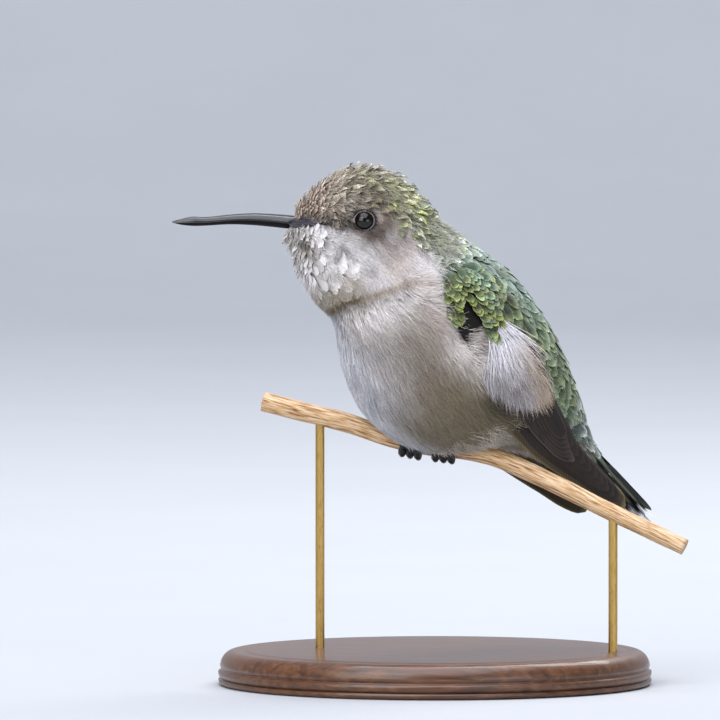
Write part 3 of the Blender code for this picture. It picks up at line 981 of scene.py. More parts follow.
@dataclass
class Body:
    """Outline of head, neck and trunk with the coat on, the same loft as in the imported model."""

    trunk_yaw: float = math.radians(22)
    pivot_x: float = 0.5
    head_y: float = -4.6
    sections: dict[str, tuple] = field(default_factory=lambda: {
        # back X, back Z, front X, front Z, half width
        "bill_root": (-20.1, 67.9, -20.9, 64.7, 1.9),
        "forehead": (-19.2, 69.4, -20.5, 62.9, 2.9),
        "brow": (-16.3, 72.0, -19.5, 59.8, 4.7),
        "crown": (-12.9, 73.5, -18.4, 57.3, 5.8),
        "eyes": (-9.0, 73.8, -16.9, 55.1, 6.5),
        "hindcrown": (-5.2, 72.3, -15.2, 53.2, 7.1),
        "nape": (-2.2, 69.3, -14.1, 51.0, 7.8),
        "hindneck": (0.9, 65.8, -13.5, 48.6, 8.9),
        "shoulder": (5.0, 63.0, -12.8, 46.0, 10.1),
        "mantle": (10.0, 59.2, -11.7, 42.9, 11.2),
        "back": (13.7, 54.6, -9.9, 39.3, 11.6),
        "lower_back": (16.4, 50.2, -7.1, 36.3, 11.2),
        "rump": (18.4, 46.0, -3.4, 34.0, 10.1),
        "rump_end": (19.9, 42.0, 1.3, 33.2, 8.5),
        "vent": (21.0, 38.8, 7.0, 33.9, 6.5),
        "tail_coverts": (21.9, 35.6, 12.6, 33.2, 4.8),
        "covert_tips": (23.4, 33.0, 17.6, 30.6, 3.5),
    })
    rows: int = 257
    columns: int = 192

    def __post_init__(self) -> None:
        """Lays out the surface."""
        self.run_end = len(self.sections) - 1.0
        self.surface = Surface(self.rings(np.linspace(0, self.run_end, self.rows), self.columns), self.run_end, True)
        rings = self.surface.points[::4, ::4]
        quads = grid_quads(len(rings), rings.shape[1], True)
        self.tree = BVHTree.FromPolygons(rings.reshape(-1, 3).tolist(), quads.tolist())

    def side_to_world(self, x: Array, z: Array, share: Array) -> Array:
        """Places seen from the side, put on the mid plane: the head's own at share 0, the trunk's at 1."""
        swung = (x - self.pivot_x) * math.tan(self.trunk_yaw)
        return np.stack([x, share * swung + (1 - share) * self.head_y, z], -1)

    def trunk_to_world(self, points: Array) -> Array:
        """Turns (behind, right, height) in the trunk's own frame into X, Y and Z.

        Args:
            points: Places in the trunk's frame, ... x 3.

        Returns:
            The same places in the scene.
        """
        cos, sin = math.cos(self.trunk_yaw), math.sin(self.trunk_yaw)
        behind, right, height = points[..., 0], points[..., 1], points[..., 2]
        return np.stack([self.pivot_x + behind * cos - right * sin, behind * sin + right * cos, height], -1)

    def rings(self, runs: Array, columns: int) -> Array:
        """Rings of the outline at these runs, each from the back over the right side.

        Args:
            runs: Where the rings lie.
            columns: Points in a ring.

        Returns:
            The points, runs x columns x 3.
        """
        table = smooth_between(list(self.sections.values()), runs)
        share = smooth_step((runs - 4) / 5)
        back = self.side_to_world(table[:, 0], table[:, 1], share)
        front = self.side_to_world(table[:, 2], table[:, 3], share)
        middle, half = (back + front) / 2, (back - front) / 2
        yaw = share * self.trunk_yaw
        side = np.stack([-np.sin(yaw), np.cos(yaw), 0 * yaw], -1) * table[:, 4:5]
        turn = circle(columns)[None, :, None]
        return middle[:, None] + half[:, None] * np.cos(turn) + side[:, None] * np.sin(turn)

    def reach(self, point: Array, sign: float) -> float:
        """How far out the body reaches at a place of the trunk's own frame, on one side.

        Args:
            point: The place.
            sign: -1 for the left side and 1 for the right.

        Returns:
            Distance from the mid plane, or -20 where the body isn't there.
        """
        middle = self.trunk_to_world(np.array([point[0], 0.0, point[2]]))
        out = self.trunk_to_world(np.array([0, sign, 0.0])) - self.trunk_to_world(np.zeros(3))
        distance = self.tree.ray_cast(Vector(middle + 40 * out), Vector(-out), 60)[3]
        return -20.0 if distance is None else 40 - distance


@dataclass
class Markings:
    """Colours of skin and coat at any place of the body."""

    cap_edge: list[tuple[float, float]] = field(default_factory=lambda: [  # run, drop
        (0, 0.46), (1.3, 0.452), (2.5, 0.455), (3.1, 0.452), (3.5, 0.44), (3.76, 0.417), (3.95, 0.38), (4.1, 0.33),
        (4.5, 0.302), (5.4, 0.3), (5.9, 0.3), (6.3, 0.315), (6.8, 0.328), (7.15, 0.335), (7.35, 0.385), (7.6, 0.44),
        (7.8, 0.45), (8.3, 0.45), (8.6, 0.42), (9.2, 0.345), (11.4, 0.328), (12.1, 0.372), (12.9, 0.383),
        (14.5, 0.42), (16, 0.5)])
    crease: list[tuple[float, float]] = field(default_factory=lambda: [  # drop, run
        (0.40, 7.9), (0.45, 7.4), (0.472, 6.85), (0.539, 6.55), (0.617, 6.1), (0.683, 5.65), (0.761, 5.2),
        (0.861, 4.95), (0.95, 4.75), (1.0, 4.75)])
    upper_centre: list[tuple[float, str]] = field(default_factory=lambda: [  # run, colour
        (0, "#836d5a"), (2.3, "#7f6c59"), (3.0, "#70654f"), (3.8, "#625b44"), (4.6, "#56543a"), (5.4, "#5b5f35"),
        (6.6, "#5a644c"), (7.6, "#4e6555"), (8.8, "#3b564a"), (10, "#3c4f2f"), (12, "#414f31"), (13.5, "#3f4a42"),
        (16, "#5d6863")])
    upper_fringe: list[tuple[float, str]] = field(default_factory=lambda: [  # run, colour
        (0, "#e6d6c6"), (2.3, "#e2d4c5"), (3.2, "#dcd3c3"), (3.9, "#d0cbb0"), (4.7, "#c6c89a"), (5.4, "#b4b985"),
        (6.0, "#bcc19c"), (6.6, "#c6cab8"), (7.2, "#c3c9be"), (7.8, "#a3b2a6"), (8.8, "#8ca094"), (10, "#909d7c"),
        (12, "#8f9e77"), (13.5, "#7f8d7c"), (16, "#a0aaa3")])
    breast_shades: list[tuple[float, str]] = field(default_factory=lambda: [  # drop, colour
        (0.36, "#a8977f"), (0.5, "#a09083"), (0.58, "#9f9489"), (0.66, "#a39a91"), (0.74, "#b0aaa6"),
        (0.82, "#bebabb"), (0.9, "#cfd0d6"), (0.96, "#cfd1d8"), (1, "#d0d1d8")])
    dusky_spots: list[tuple[float, float, float]] = field(default_factory=lambda: [  # run, drop, depth
        (4.2, 0.575, 1.1), (4.1, 0.735, 1.0), (2.0, 0.665, 0.8), (3.4, 0.6, 0.4), (5.6, 0.555, 0.5),
        (3.0, 0.69, 0.5)])

    def upper(self, places: Places) -> tuple[Array, Array]:
        """Colours of the feathers on cap, nape, back and rump.

        Args:
            places: The feathers' roots.

        Returns:
            Linear colours of the feathers' centres and of their fringes.
        """
        run, drop, points = places.run, places.drop, places.points
        blot, each = mottle(points, 2.6, 5), mottle(points, 0.4, 6)
        centre = colours_along(run + 0.5 * blot, self.upper_centre)
        fringe = colours_along(run + 0.5 * blot, self.upper_fringe)
        head, back = span(run, 2.6, 3.4, 7.6, 6.6), span(run, 6.8, 7.8)
        ridge = smooth_step(drop, 0.12, 0.03)
        grey = np.clip(head * (ridge + 0.5 * (each > 0.35) + 0.5 * (blot > 0.7)), 0, 1)
        beside = span(drop, 0.18, 0.23) * span(run, 2.5, 2.9, 5.6, 5.0) * (blot > -0.6)
        bright = head * (each < -0.4) * span(drop, 0.08, 0.14, 0.3, 0.24)
        eye_top = 0.31 + 0.05 * smooth_step(run, 4.2, 4.8)
        over_eye = span(run, 3.1, 3.6, 5.3, 4.8) * span(drop, 0.17, 0.21, 0.36, eye_top)
        brow = span(drop, 0.28, 0.34) * span(run, 2.9, 3.3, 4.8, 4.2)
        rim = span(drop, 0.385, 0.42) * span(run, 0.9, 1.4, 4.3, 3.9)
        seam = span(drop, 0.22, 0.27) * span(run, 3.7, 4.1, 5.3, 4.8)
        nape = span(drop, 0.12, 0.16) * span(run, 5.2, 5.8, 7.0, 6.5)
        white = span(run, 12.0, 13.2, 15.6, 14.6) * (mottle(points, 1.3, 8) > 0.2)
        centre = layered(centre, (
            ("#5b5347", 0.6 * grey), ("#352f26", 0.8 * over_eye), ("#665b52", 0.8 * brow), ("#3f352f", 0.85 * rim),
            ("#4b4235", 0.8 * seam), ("#767a68", 0.3 * nape), ("#28311f", 0.7 * back * (each > 0.65))))
        fringe = layered(fringe, (
            ("#cdc7b9", 0.75 * grey), ("#8a8270", 0.5 * beside), ("#b5bf62", 0.6 * bright),
            ("#77725a", 0.8 * over_eye), ("#bdb2aa", 0.85 * brow), ("#85786e", 0.85 * rim), ("#82775f", 0.85 * seam),
            ("#c3c6b6", 0.5 * nape * (each > -0.1)), ("#5c6a45", 0.6 * back * (each > 0.65)),
            ("#a2ad6c", 0.5 * back * (each < -0.7)), ("#cfcec8", 0.75 * white)))
        return centre, fringe

    def face_and_throat(self, places: Places, past: Array) -> Array:
        """Colours of face, neck, chin and throat.

        Args:
            places: The feathers' roots.
            past: How far behind the crease under the throat each place lies, in runs.

        Returns:
            Linear colours.
        """
        run, drop, points = places.run, places.drop, places.points
        blot, fine, fibres = mottle(points, 3.2, 11), mottle(points, 1.1, 12), streaks(places, 0.2, 14)
        ear_line = np.interp(run, [4.2, 4.7, 5.0, 5.3, 5.8, 6.2], [0.455, 0.445, 0.43, 0.41, 0.385, 0.36])
        ear = hump(drop, ear_line, 0.045) * span(run, 3.9, 4.4, 5.5, 4.7)
        tinge = hump(drop, np.interp(run, [1.8, 3.4], [0.65, 0.71]), 0.05) * span(run, 1.5, 1.9, 3.9, 3.1)
        neck_side = span(drop, 0.6, 0.47) * span(run, 4.6, 6.4)
        behind_ear = span(run, 5.2, 5.8, 7.0, 6.2) * span(drop, 0.54, 0.46)
        temple = span(run, 4.1, 4.4, 6.0, 5.4) * span(drop, 0.38, 0.35)
        spots = [("#4a4644", depth * hump(run, spot_run, 0.3) * hump(drop, spot_drop, 0.028))
                 for spot_run, spot_drop, depth in self.dusky_spots]
        return layered(np.broadcast_to(linear("#ebe8e9"), (len(run), 3)), [
            ("#ddd2cc", 0.8 * neck_side),
            ("#efe8e6", 0.8 * span(run, 6.2, 6.7) * span(drop, 0.45, 0.4)),  # pale place before the shoulder
            ("#d0c5c0", behind_ear * (0.7 + 0.4 * fibres)),
            ("#6f625a", hump(drop, 0.4, 0.065) * hump(run, 5.15, 0.62) * (1.15 + 0.35 * fibres)),  # ear
            ("#796d60", temple * (0.75 + 0.3 * fibres)),
            ("#71665e", 0.9 * span(drop, 0.487, 0.47) * span(run, 4.3, 3.9)),  # between bill and eye
            ("#75685f", ear * (1.0 + 0.3 * fibres)),
            ("#51453d", np.clip(1.2 * ear - 0.4, 0, 1) * (fibres > 0.6)),
            ("#d9cdc2", 0.8 * hump(drop, 0.352, 0.016) * hump(run, 4.9, 0.13)),  # pale spot behind the eye
            ("#c4bfc0", 0.35 * span(run, 3.2, 3.6, 4.6, 4.2) * span(drop, 0.54, 0.49)),  # cheek
            ("#cdc8c1", 0.6 * span(run, 2.7, 1.4) * span(drop, 0.5, 0.56)),  # chin
            ("#857b69", 0.85 * tinge * (1 + 0.5 * blot)),
            *spots,
            # Painted shade: the throat dims towards its lower edge, tinted grey-beige before the crease.
            ("#a89e8c", 0.8 * span(past, -1.9, -0.5) * span(drop, 0.55, 0.68)),  # throat before the crease
            ("#a49c8c", 0.4 * span(drop, 0.7, 0.8) * span(run, 3.2, 4.2) * (1 + 0.6 * fine)),  # its shaded underside
        ])

    def breast(self, places: Places, past: Array) -> Array:
        """Colours of breast, belly and vent.

        Args:
            places: The feathers' roots.
            past: How far behind the crease under the throat each place lies, in runs.

        Returns:
            Linear colours.
        """
        run, drop = places.run, places.drop
        top_at = np.interp(drop, [0.46, 0.6, 0.7], [0.2, 0.75, 1.15])
        top = hump(past, top_at, 0.75) * span(drop, 0.43, 0.5, 0.92, 0.82)
        breast = layered(colours_along(drop, self.breast_shades), [("#f3edec", 0.88 * top)])
        breast = breast * (1 + 0.07 * mottle(places.points, 3.2, 11) + 0.1 * streaks(places, 0.5, 15))[:, None]
        at_wing = np.interp(run, [7.0, 7.4, 8.6, 9.3, 10.4, 12], [0.42, 0.45, 0.5, 0.54, 0.5, 0.52])
        return layered(breast, [
            ("#83765f", 0.8 * span(run, 8.0, 10.4) * span(drop, 0.44, 0.54, 0.84, 0.66)),  # brown side
            ("#80765d", 0.85 * span(run, 9.4, 11.2) * span(drop, 0.97, 0.82)),  # olive belly
            ("#ece4e0", 0.9 * hump(drop, at_wing, 0.055) * span(run, 6.9, 7.6, 11.0, 10.5)),  # pale border
            ("#2e271d", 0.85 * hump(drop, 0.548, 0.035) * span(run, 10.8, 11.1, 12.6, 12.2)),  # shade under the wing
            ("#b3aca0", 0.7 * span(run, 12.4, 13.2) * span(drop, 0.56, 0.64)),  # vent
        ])

    def under(self, places: Places) -> Array:
        """Colours of face, throat, breast and belly, before the feathers' own shades.

        Args:
            places: The feathers' roots.

        Returns:
            Linear colours.
        """
        drop, past = places.drop, places.run - along_table(places.drop, self.crease)
        colour = mix(self.face_and_throat(places, past), self.breast(places, past), span(past, -0.1, 0.2))
        # Painted shadow: a brown band just behind the crease, where the throat overhangs the breast, with a fainter
        # band along the crease down the neck's side.
        fold = hump(past, 0.12, 0.26) * span(drop, 0.62, 0.7) * (1 + 0.2 * mottle(places.points, 1.1, 12))
        crease_side_shadow = hump(past, 0.08, 0.13) * span(drop, 0.43, 0.47, 0.7, 0.62)
        colour = layered(colour, [("#78643f", 0.95 * fold), ("#9c886c", 0.75 * crease_side_shadow)])
        grain = 0.14 * streaks(places, 0.24, 21) * span(past, 0.2, -0.3) * span(drop, 0.62, 0.54)
        return np.clip(colour * (1 + grain)[:, None], 0, 1)

    def lore(self, places: Places) -> Array:
        """How much a place belongs to the dark line from the gape to the eye, 0 to 1.

        Args:
            places: Places on the body.

        Returns:
            One share for each place.
        """
        line = np.interp(places.run, [0.5, 1.5, 2.1, 2.6, 3.1, 3.6, 4.0],
                         [0.5, 0.49, 0.482, 0.472, 0.464, 0.455, 0.435])
        width = np.interp(places.run, [1.5, 2.8, 3.6], [0.02, 0.011, 0.022])
        return np.clip(1.25 * hump(places.drop, line, width) * span(places.run, 0.4, 1.2, 4.4, 4.0), 0, 1)

    def anywhere(self, places: Places) -> Array:
        """The colour of the skin under the coat."""
        share = span(places.drop - along_table(places.run, self.cap_edge), -0.015, 0.015)
        return mix(mix(*self.upper(places), 0.3), self.under(places), share)


# ------------------------------------------------------------------ finishes


@dataclass(frozen=True)
class Keratin:
    """Feather keratin, grown as barbs on a shaft, which gives a soft silky surface with fine slanting ribs."""

    name: str
    roughness: float = 0.62
    sheen: float = 0.25
    metallic: float = 0.0
    barb_gap: float = 0.3  # mm; real barbs stand about 0.1 mm apart, drawn wider so that they show
    rib: float = 0.16
    gain: float = 1.0
    specular: float = 0.4

    def material(self) -> Material:
        """Makes the material.

        Returns:
            The material.
        """
        material, tree, shader = new_material(self.name, {
            "Roughness": self.roughness, "Metallic": self.metallic, "Sheen Weight": self.sheen,
            "Sheen Roughness": 0.5, "Specular IOR Level": self.specular})
        colour = add_node(tree, "ShaderNodeAttribute", {"attribute_name": Map.COLOUR.value})
        vane = add_node(tree, "ShaderNodeAttribute", {"attribute_name": Map.VANE.value})
        split = add_node(tree, "ShaderNodeSeparateXYZ", {}, {0: vane.outputs["Vector"]})
        away = add_node(tree, "ShaderNodeMath", {"operation": "ABSOLUTE"}, {0: split.outputs[0]})
        slant = add_node(tree, "ShaderNodeMath", {"operation": "MULTIPLY_ADD", 1: -0.8},
                         {0: away.outputs[0], 2: split.outputs[1]})
        phase = add_node(tree, "ShaderNodeMath", {"operation": "MULTIPLY", 1: 2 * math.pi / self.barb_gap},
                         {0: slant.outputs[0]})
        wave = add_node(tree, "ShaderNodeMath", {"operation": "SINE"}, {0: phase.outputs[0]})
        darker = add_node(tree, "ShaderNodeMapRange",
                          {1: -1.0, 2: 1.0, 3: self.gain * (1 - self.rib), 4: self.gain * (1 + self.rib)},
                          {0: wave.outputs[0]})
        painted = add_node(tree, "ShaderNodeVectorMath", {"operation": "SCALE"},
                           {0: colour.outputs["Color"], "Scale": darker.outputs[0]})
        bump = add_node(tree, "ShaderNodeBump", {"Strength": 0.35, "Distance": 0.04 * MM},
                        {"Height": wave.outputs[0]})
        tree.links.new(painted.outputs[0], shader.inputs["Base Color"])
        tree.links.new(bump.outputs[0], shader.inputs["Normal"])
        return material


@dataclass(frozen=True)
class Down:
    """Loose down and barbs of feather keratin, grown without hooks, which gives a dull soft fluff."""

    name: str
    roughness: float = 0.7
    sheen: float = 0.3
    grain: float = 0.0  # mm, width of a lock where the skin itself shows

    def material(self) -> Material:
        """Makes the material.

        Returns:
            The material.
        """
        material, tree, shader = new_material(self.name, {
            "Roughness": self.roughness, "Sheen Weight": self.sheen, "Specular IOR Level": 0.3})
        colour = add_node(tree, "ShaderNodeAttribute", {"attribute_name": Map.COLOUR.value})
        place = add_node(tree, "ShaderNodeTexCoord", {})
        scale = 1 / ((self.grain or 0.25) * MM)
        noise = add_node(tree, "ShaderNodeTexNoise", {"Scale": scale, "Detail": 2.0}, {0: place.outputs["Object"]})
        level = add_node(tree, "ShaderNodeMapRange", {1: 0.3, 2: 0.7, 3: 0.85, 4: 1.12}, {0: noise.outputs["Fac"]})
        painted = add_node(tree, "ShaderNodeVectorMath", {"operation": "SCALE"},
                           {0: colour.outputs["Color"], "Scale": level.outputs[0]})
        tree.links.new(painted.outputs[0], shader.inputs["Base Color"])
        if self.grain:
            bump = add_node(tree, "ShaderNodeBump", {"Strength": 0.5, "Distance": 0.1 * MM},
                            {"Height": noise.outputs["Fac"]})
            tree.links.new(bump.outputs[0], shader.inputs["Normal"])
        return material


@dataclass(frozen=True)
class Grown:
    """A grown or worked surface whose colour and bump follow noise that may be drawn out along a direction."""

    name: str
    stops: tuple[tuple[float, str], ...]
    size: float  # mm, width of a grain or blotch
    stretch: tuple[float, float, float] = (1.0, 1.0, 1.0)
    roughness: tuple[float, float] = (0.4, 0.55)
    bump: float = 0.05  # mm
    metallic: float = 0.0
    coat: float = 0.0
    ior: float = 1.5
    detail: float = 5.0
    along_fibre: bool = False
    wander: float = 0.0

    def material(self) -> Material:
        """Makes the material.

        Returns:
            The material.
        """
        material, tree, shader = new_material(self.name, {
            "Metallic": self.metallic, "Coat Weight": self.coat, "IOR": self.ior})
        if self.along_fibre:
            place = add_node(tree, "ShaderNodeAttribute", {"attribute_name": Map.FIBRE.value}).outputs["Vector"]
            unit_size = self.size
        else:
            place = add_node(tree, "ShaderNodeTexCoord", {}).outputs["Object"]
            unit_size = self.size * MM
        scale = tuple(1 / unit_size / s for s in self.stretch)
        scaled = add_node(tree, "ShaderNodeMapping", {"vector_type": "POINT", "Scale": scale}, {0: place})
        grain = add_node(tree, "ShaderNodeTexNoise",
                         {"Scale": 1.0, "Detail": self.detail, "Roughness": 0.6, "Distortion": self.wander},
                         {0: scaled.outputs[0]})
        colour = ramp(tree, grain.outputs["Fac"], self.stops)
        level = add_node(tree, "ShaderNodeMapRange", {1: 0.3, 2: 0.7, 3: self.roughness[0], 4: self.roughness[1]},
                         {0: grain.outputs["Fac"]})
        bump = add_node(tree, "ShaderNodeBump", {"Strength": 0.6, "Distance": self.bump * MM},
                        {"Height": grain.outputs["Fac"]})
        tree.links.new(colour, shader.inputs["Base Color"])
        tree.links.new(level.outputs[0], shader.inputs["Roughness"])
        tree.links.new(bump.outputs[0], shader.inputs["Normal"])
        return material


@dataclass(frozen=True)
class Cornea:
    """A wet, clear cornea over a dark brown iris, which gives a small sharp reflection on near black."""

    name: str = "wet_cornea_over_dark_iris"

    def material(self) -> Material:
        """Makes the material.

        Returns:
            The material.
        """
        material, tree, shader = new_material(self.name, {
            "Roughness": 0.15, "IOR": 1.38, "Specular IOR Level": 0.0, "Coat IOR": 1.46, "Coat Weight": 1.0,
            "Coat Roughness": 0.02})
        colour = add_node(tree, "ShaderNodeAttribute", {"attribute_name": Map.COLOUR.value})
        tree.links.new(colour.outputs["Color"], shader.inputs["Base Color"])
        return material


ALONG = (9.0, 1.0, 1.0)  # stretch of a grain that runs along a piece


@dataclass(frozen=True)
class Finishes:
    """The finish of every part, each named for what it is and how it came about."""

    vane: Material = field(default_factory=Keratin("satin_feather_vanes", roughness=0.7, rib=0.06).material)
    glossy: Material = field(default_factory=Keratin(
        "glossy_green_feather_vanes", roughness=0.46, sheen=0.1, metallic=0.2, rib=0.28).material)
    flight: Material = field(default_factory=Keratin(
        "stiff_flight_feather_vanes", roughness=0.55, sheen=0.0, barb_gap=0.4, rib=0.22, specular=0.2).material)
    down: Material = field(default_factory=Down("loose_feather_barbs").material)
    skin: Material = field(default_factory=Down("thin_skin_under_down", grain=0.5).material)
    cornea: Material = field(default_factory=Cornea().material)
    horn: Material = field(default_factory=Grown(
        "grown_black_bill_horn", ((0.2, "#0b0a0c"), (0.55, "#131214"), (0.9, "#222025")), 0.16, ALONG,
        (0.24, 0.36), 0.02, along_fibre=True, coat=0.3).material)
    # The lower half's horn: duller, and painted darker than the upper half's, as painted shade on the bill's
    # underside.
    matt_horn: Material = field(default_factory=Grown(
        "dull_black_bill_horn_painted_darker", ((0.2, "#070608"), (0.6, "#100f11"), (0.9, "#1c1a1e")), 0.16, ALONG,
        (0.5, 0.65), 0.02, along_fibre=True, ior=1.25).material)
    # The gape's horn is lighter grey than the bill's own horn: a painted sheen that stands in for the reflection
    # along the bill's top.
    gape: Material = field(default_factory=Grown(
        "grey_gape_horn_with_painted_sheen", ((0.2, "#1a191d"), (0.5, "#302e34"), (0.85, "#5b5962")), 0.2,
        (5.0, 1.0, 1.0), (0.24, 0.36), 0.02, along_fibre=True, coat=0.3).material)
    toes: Material = field(default_factory=Grown(
        "scaled_black_foot_skin", ((0.2, "#0b0a0a"), (0.6, "#161414"), (0.9, "#2d2a2a")), 0.25,
        roughness=(0.28, 0.5), bump=0.09).material)
    lid: Material = field(default_factory=Grown(
        "bare_grey_lid_skin", ((0.2, "#6b645f"), (0.8, "#b3aca6")), 0.15, roughness=(0.5, 0.6),
        bump=0.02).material)
    bark: Material = field(default_factory=Grown(
        "peeled_tan_vine_bark", ((0.33, "#5c4127"), (0.41, "#a37a4d"), (0.51, "#cfac80"), (0.68, "#e9d3b9")), 0.22,
        (14.0, 1.0, 1.0), (0.6, 0.75), 0.08, along_fibre=True, wander=0.3).material)
    walnut: Material = field(default_factory=Grown(
        "oiled_turned_walnut", ((0.25, "#3a2416"), (0.5, "#5b3a25"), (0.75, "#7a5236")), 0.9, ALONG, (0.32, 0.45),
        0.03, coat=0.25, wander=0.6).material)
    brass: Material = field(default_factory=Grown(
        "drawn_satin_brass", ((0.3, "#b6924f"), (0.7, "#cfae6c")), 0.12, (1.0, 1.0, 12.0), (0.25, 0.36), 0.004,
        metallic=1.0).material)


# ------------------------------------------------------------------ the coat


@dataclass
class Coat:
    """Skin and feathers of head, neck and trunk."""

    body: Body
    marks: Markings
    eyes: Array
    eye_gap: float = 1.6  # mm from an eye's centre to the nearest feather
    gape_top: list[tuple[float, float]] = field(default_factory=lambda: [  # run, drop
        (-0.4, 0.30), (0.07, 0.33), (0.9, 0.41), (1.3, 0.43), (1.9, 0.452), (2.5, 0.47)])
    gape_low: list[tuple[float, float]] = field(default_factory=lambda: [
        (-0.4, 0.70), (0.3, 0.62), (0.75, 0.59), (1.4, 0.545), (1.9, 0.508), (2.5, 0.474)])
    dusky_roots: tuple[tuple[float, float], ...] = ((3.5, 0.58), (3.5, 0.735), (1.5, 0.665))  # run, drop
    skin_rows: int = 193
    skin_columns: int = 128
    socket: float = 0.5  # mm that the skin lies deeper round an eye
    shaded: float = 0.6  # how dark the skin is under the coat

    def past_crease(self, run: Array, turn: Array) -> Array:
        """How far behind the fold between throat and breast a place lies, in runs."""
        return run - along_table(drop_of(turn), self.marks.crease)

    def depth(self, run: Array) -> Array:
        """Depth of the coat over the skin in millimetres."""
        return np.interp(run, [0, 2, 4, 6, 9, 16], [0.25, 0.35, 0.45, 0.6, 0.8, 0.75])

    def near_eye(self, points: Array, low: float, high: float) -> Array:
        """1 nearer than low to an eye's centre, and 0 beyond high."""
        away = np.min([np.linalg.norm(points - eye, axis=-1) for eye in self.eyes], axis=0)
        return smooth_step(away, high, low)

    def on_gape(self, run: Array, drop: Array) -> Array:
        """Whether a place lies on the bare horn between the bill and the corner of the mouth."""
        top, low = along_table(run, self.gape_top), along_table(run, self.gape_low)
        return (drop > top) & (drop < low) & (run < 2.5)

    def gape(self, finish: Material) -> None:
        """Makes the horn edges of the mouth that reach back into the face on both sides.

        Args:
            finish: Their material.
        """
        steps, columns = 24, 11
        lift, sunk = -0.12, 0.55  # mm that the upper face lies over the bulge, and the lower face under the skin
        run, share = np.linspace(-0.4, 2.55, steps)[:, None], np.linspace(0, 1, columns)[None]
        top, low = along_table(run, self.gape_top) - 0.01, along_table(run, self.gape_low) + 0.01
        drop = top * (1 - share) + low * share
        fold = 0.14 * hump(share, 0.6, 0.07)
        bulge = (0.34 - 0.8 * np.abs(2 * share - 1) ** 2.2 - fold + 0 * run).ravel()[:, None]
        fibre = np.stack(np.broadcast_arrays(run * 1.2, share * 2.0, 0 * share), -1)
        fibre = np.concatenate([fibre, fibre[:, ::-1]], 1)
        parts = []
        for right in (True, False):
            turn = drop / 2 if right else 1 - drop / 2
            places = self.body.surface.places((run + 0 * share).ravel(), turn.ravel())
            top_side = (places.points + places.normals * (bulge + lift)).reshape(steps, columns, 3)
            low_side = (places.points - places.normals * sunk).reshape(steps, columns, 3)
            rings = np.concatenate([top_side, low_side[:, ::-1]], 1)
            parts.append(Shape.of_rings(rings, right, fibre=fibre))
        piece = joined(parts).to_object("mouth_corners", finish)

    def skin(self, finish: Material) -> None:
        """Makes the one skin that stands for head, neck and trunk.

        Args:
            finish: Its material.
        """
        runs, turns = np.linspace(0, self.body.run_end, self.skin_rows), np.arange(self.skin_columns)
        run, turn = np.meshgrid(runs, turns / self.skin_columns, indexing="ij")
        places = self.body.surface.places(run.ravel(), turn.ravel())
        points = places.points - places.normals * self.depth(places.run)[:, None]
        points = points - places.normals * (self.socket * self.near_eye(points, 1.0, 2.0))[:, None]
        colours = self.marks.anywhere(places) * self.shaded
        dusk = np.maximum(self.near_eye(points, 1.7, 2.2), self.marks.lore(places))
        colours = mix(colours, linear("#2a2420"), dusk).reshape(*run.shape, 3)
        grid = points.reshape(*run.shape, 3)
        first = [shrunk(grid[0], share) for share in (CLOSED, 0.6)]
        last = [shrunk(grid[-1], share) for share in (0.6, CLOSED)]
        grid = np.concatenate([first, grid, last])
        colours = np.concatenate([[colours[0]] * 2, colours, [colours[-1]] * 2])
        piece = Shape.of_rings(grid, colours=colours).to_object("skin", finish)
        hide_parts("head", "neck", "trunk")

    def upper_paint(self, places: Places) -> tuple[Array, Array]:
        """Centres and fringes of the upper side, darker beside the eye.

        Args:
            places: The roots.

        Returns:
            Linear colours of the root end or centre and of the tip or fringe.
        """
        centre, fringe = self.marks.upper(places)
        dusk = 0.85 * self.near_eye(places.points, 1.75, 2.3)
        return mix(centre, linear("#2d2723"), dusk), mix(fringe, linear("#6c625b"), dusk)

    def soft_paint(self, places: Places) -> tuple[Array, Array]:
        """Colours of loose barbs, darker at the root than at the tip.

        Args:
            places: The roots.

        Returns:
            Linear colours of the root end or centre and of the tip or fringe.
        """
        base = self.marks.under(places)
        speckle = 0.85 * self.near_eye(places.points, 1.8, 2.5) * (mottle(places.points, 0.35, 35) > 0.1)
        dark = np.clip(self.near_eye(places.points, 1.7, 1.95) * 0.9 + speckle + self.marks.lore(places), 0, 1)
        base = mix(base, linear("#332b27"), dark)
        return base * 0.62, np.clip(base * 1.08, 0, 1)

    def throat_paint(self, places: Places) -> tuple[Array, Array]:
        """Greyish centres and white rims, with a few dusky feathers.

        Args:
            places: The roots.

        Returns:
            Linear colours of the root end or centre and of the tip or fringe.
        """
        base = mix(self.marks.under(places), linear("#473d36"), self.marks.lore(places))
        dusky = (mottle(places.points, 1.2, 31) > 1.05) & (places.run > 1.5)
        for run, drop in self.dusky_roots:
            dusky |= ((places.run - run) / 0.3) ** 2 + ((places.drop - drop) / 0.02) ** 2 < 1
        centre = base * np.where(dusky, 0.25, 0.93)[:, None]
        return centre, np.clip(base, 0, 1) * np.where(dusky, 0.7, 1)[:, None]

    def crown_barb_paint(self, places: Places) -> tuple[Array, Array]:
        """Dark at the root and pale grey-beige at the tip, like the fringes of the crown's feathers."""
        centre, fringe = self.upper_paint(places)
        return centre * 0.8, mix(fringe, linear("#b5ac9b"), 0.45)

    def throat_fringe_paint(self, places: Places) -> tuple[Array, Array]:
        """White barbs, greyer at their roots."""
        base = self.marks.under(places)
        return base * 0.88, np.clip(base * 1.06, 0, 1)

    @staticmethod
    def vent_paint(places: Places) -> tuple[Array, Array]:
        """White and cream barbs of the vent.

        Args:
            places: The roots.

        Returns:
            Linear colours of the root end or centre and of the tip or fringe.
        """
        share = np.clip(0.5 + 0.5 * mottle(places.points, 1.5, 33), 0, 1)
        tip = mix(linear("#e4e1de") + np.zeros((len(share), 3)), linear("#c5b596"), share)
        return tip * 0.7, tip

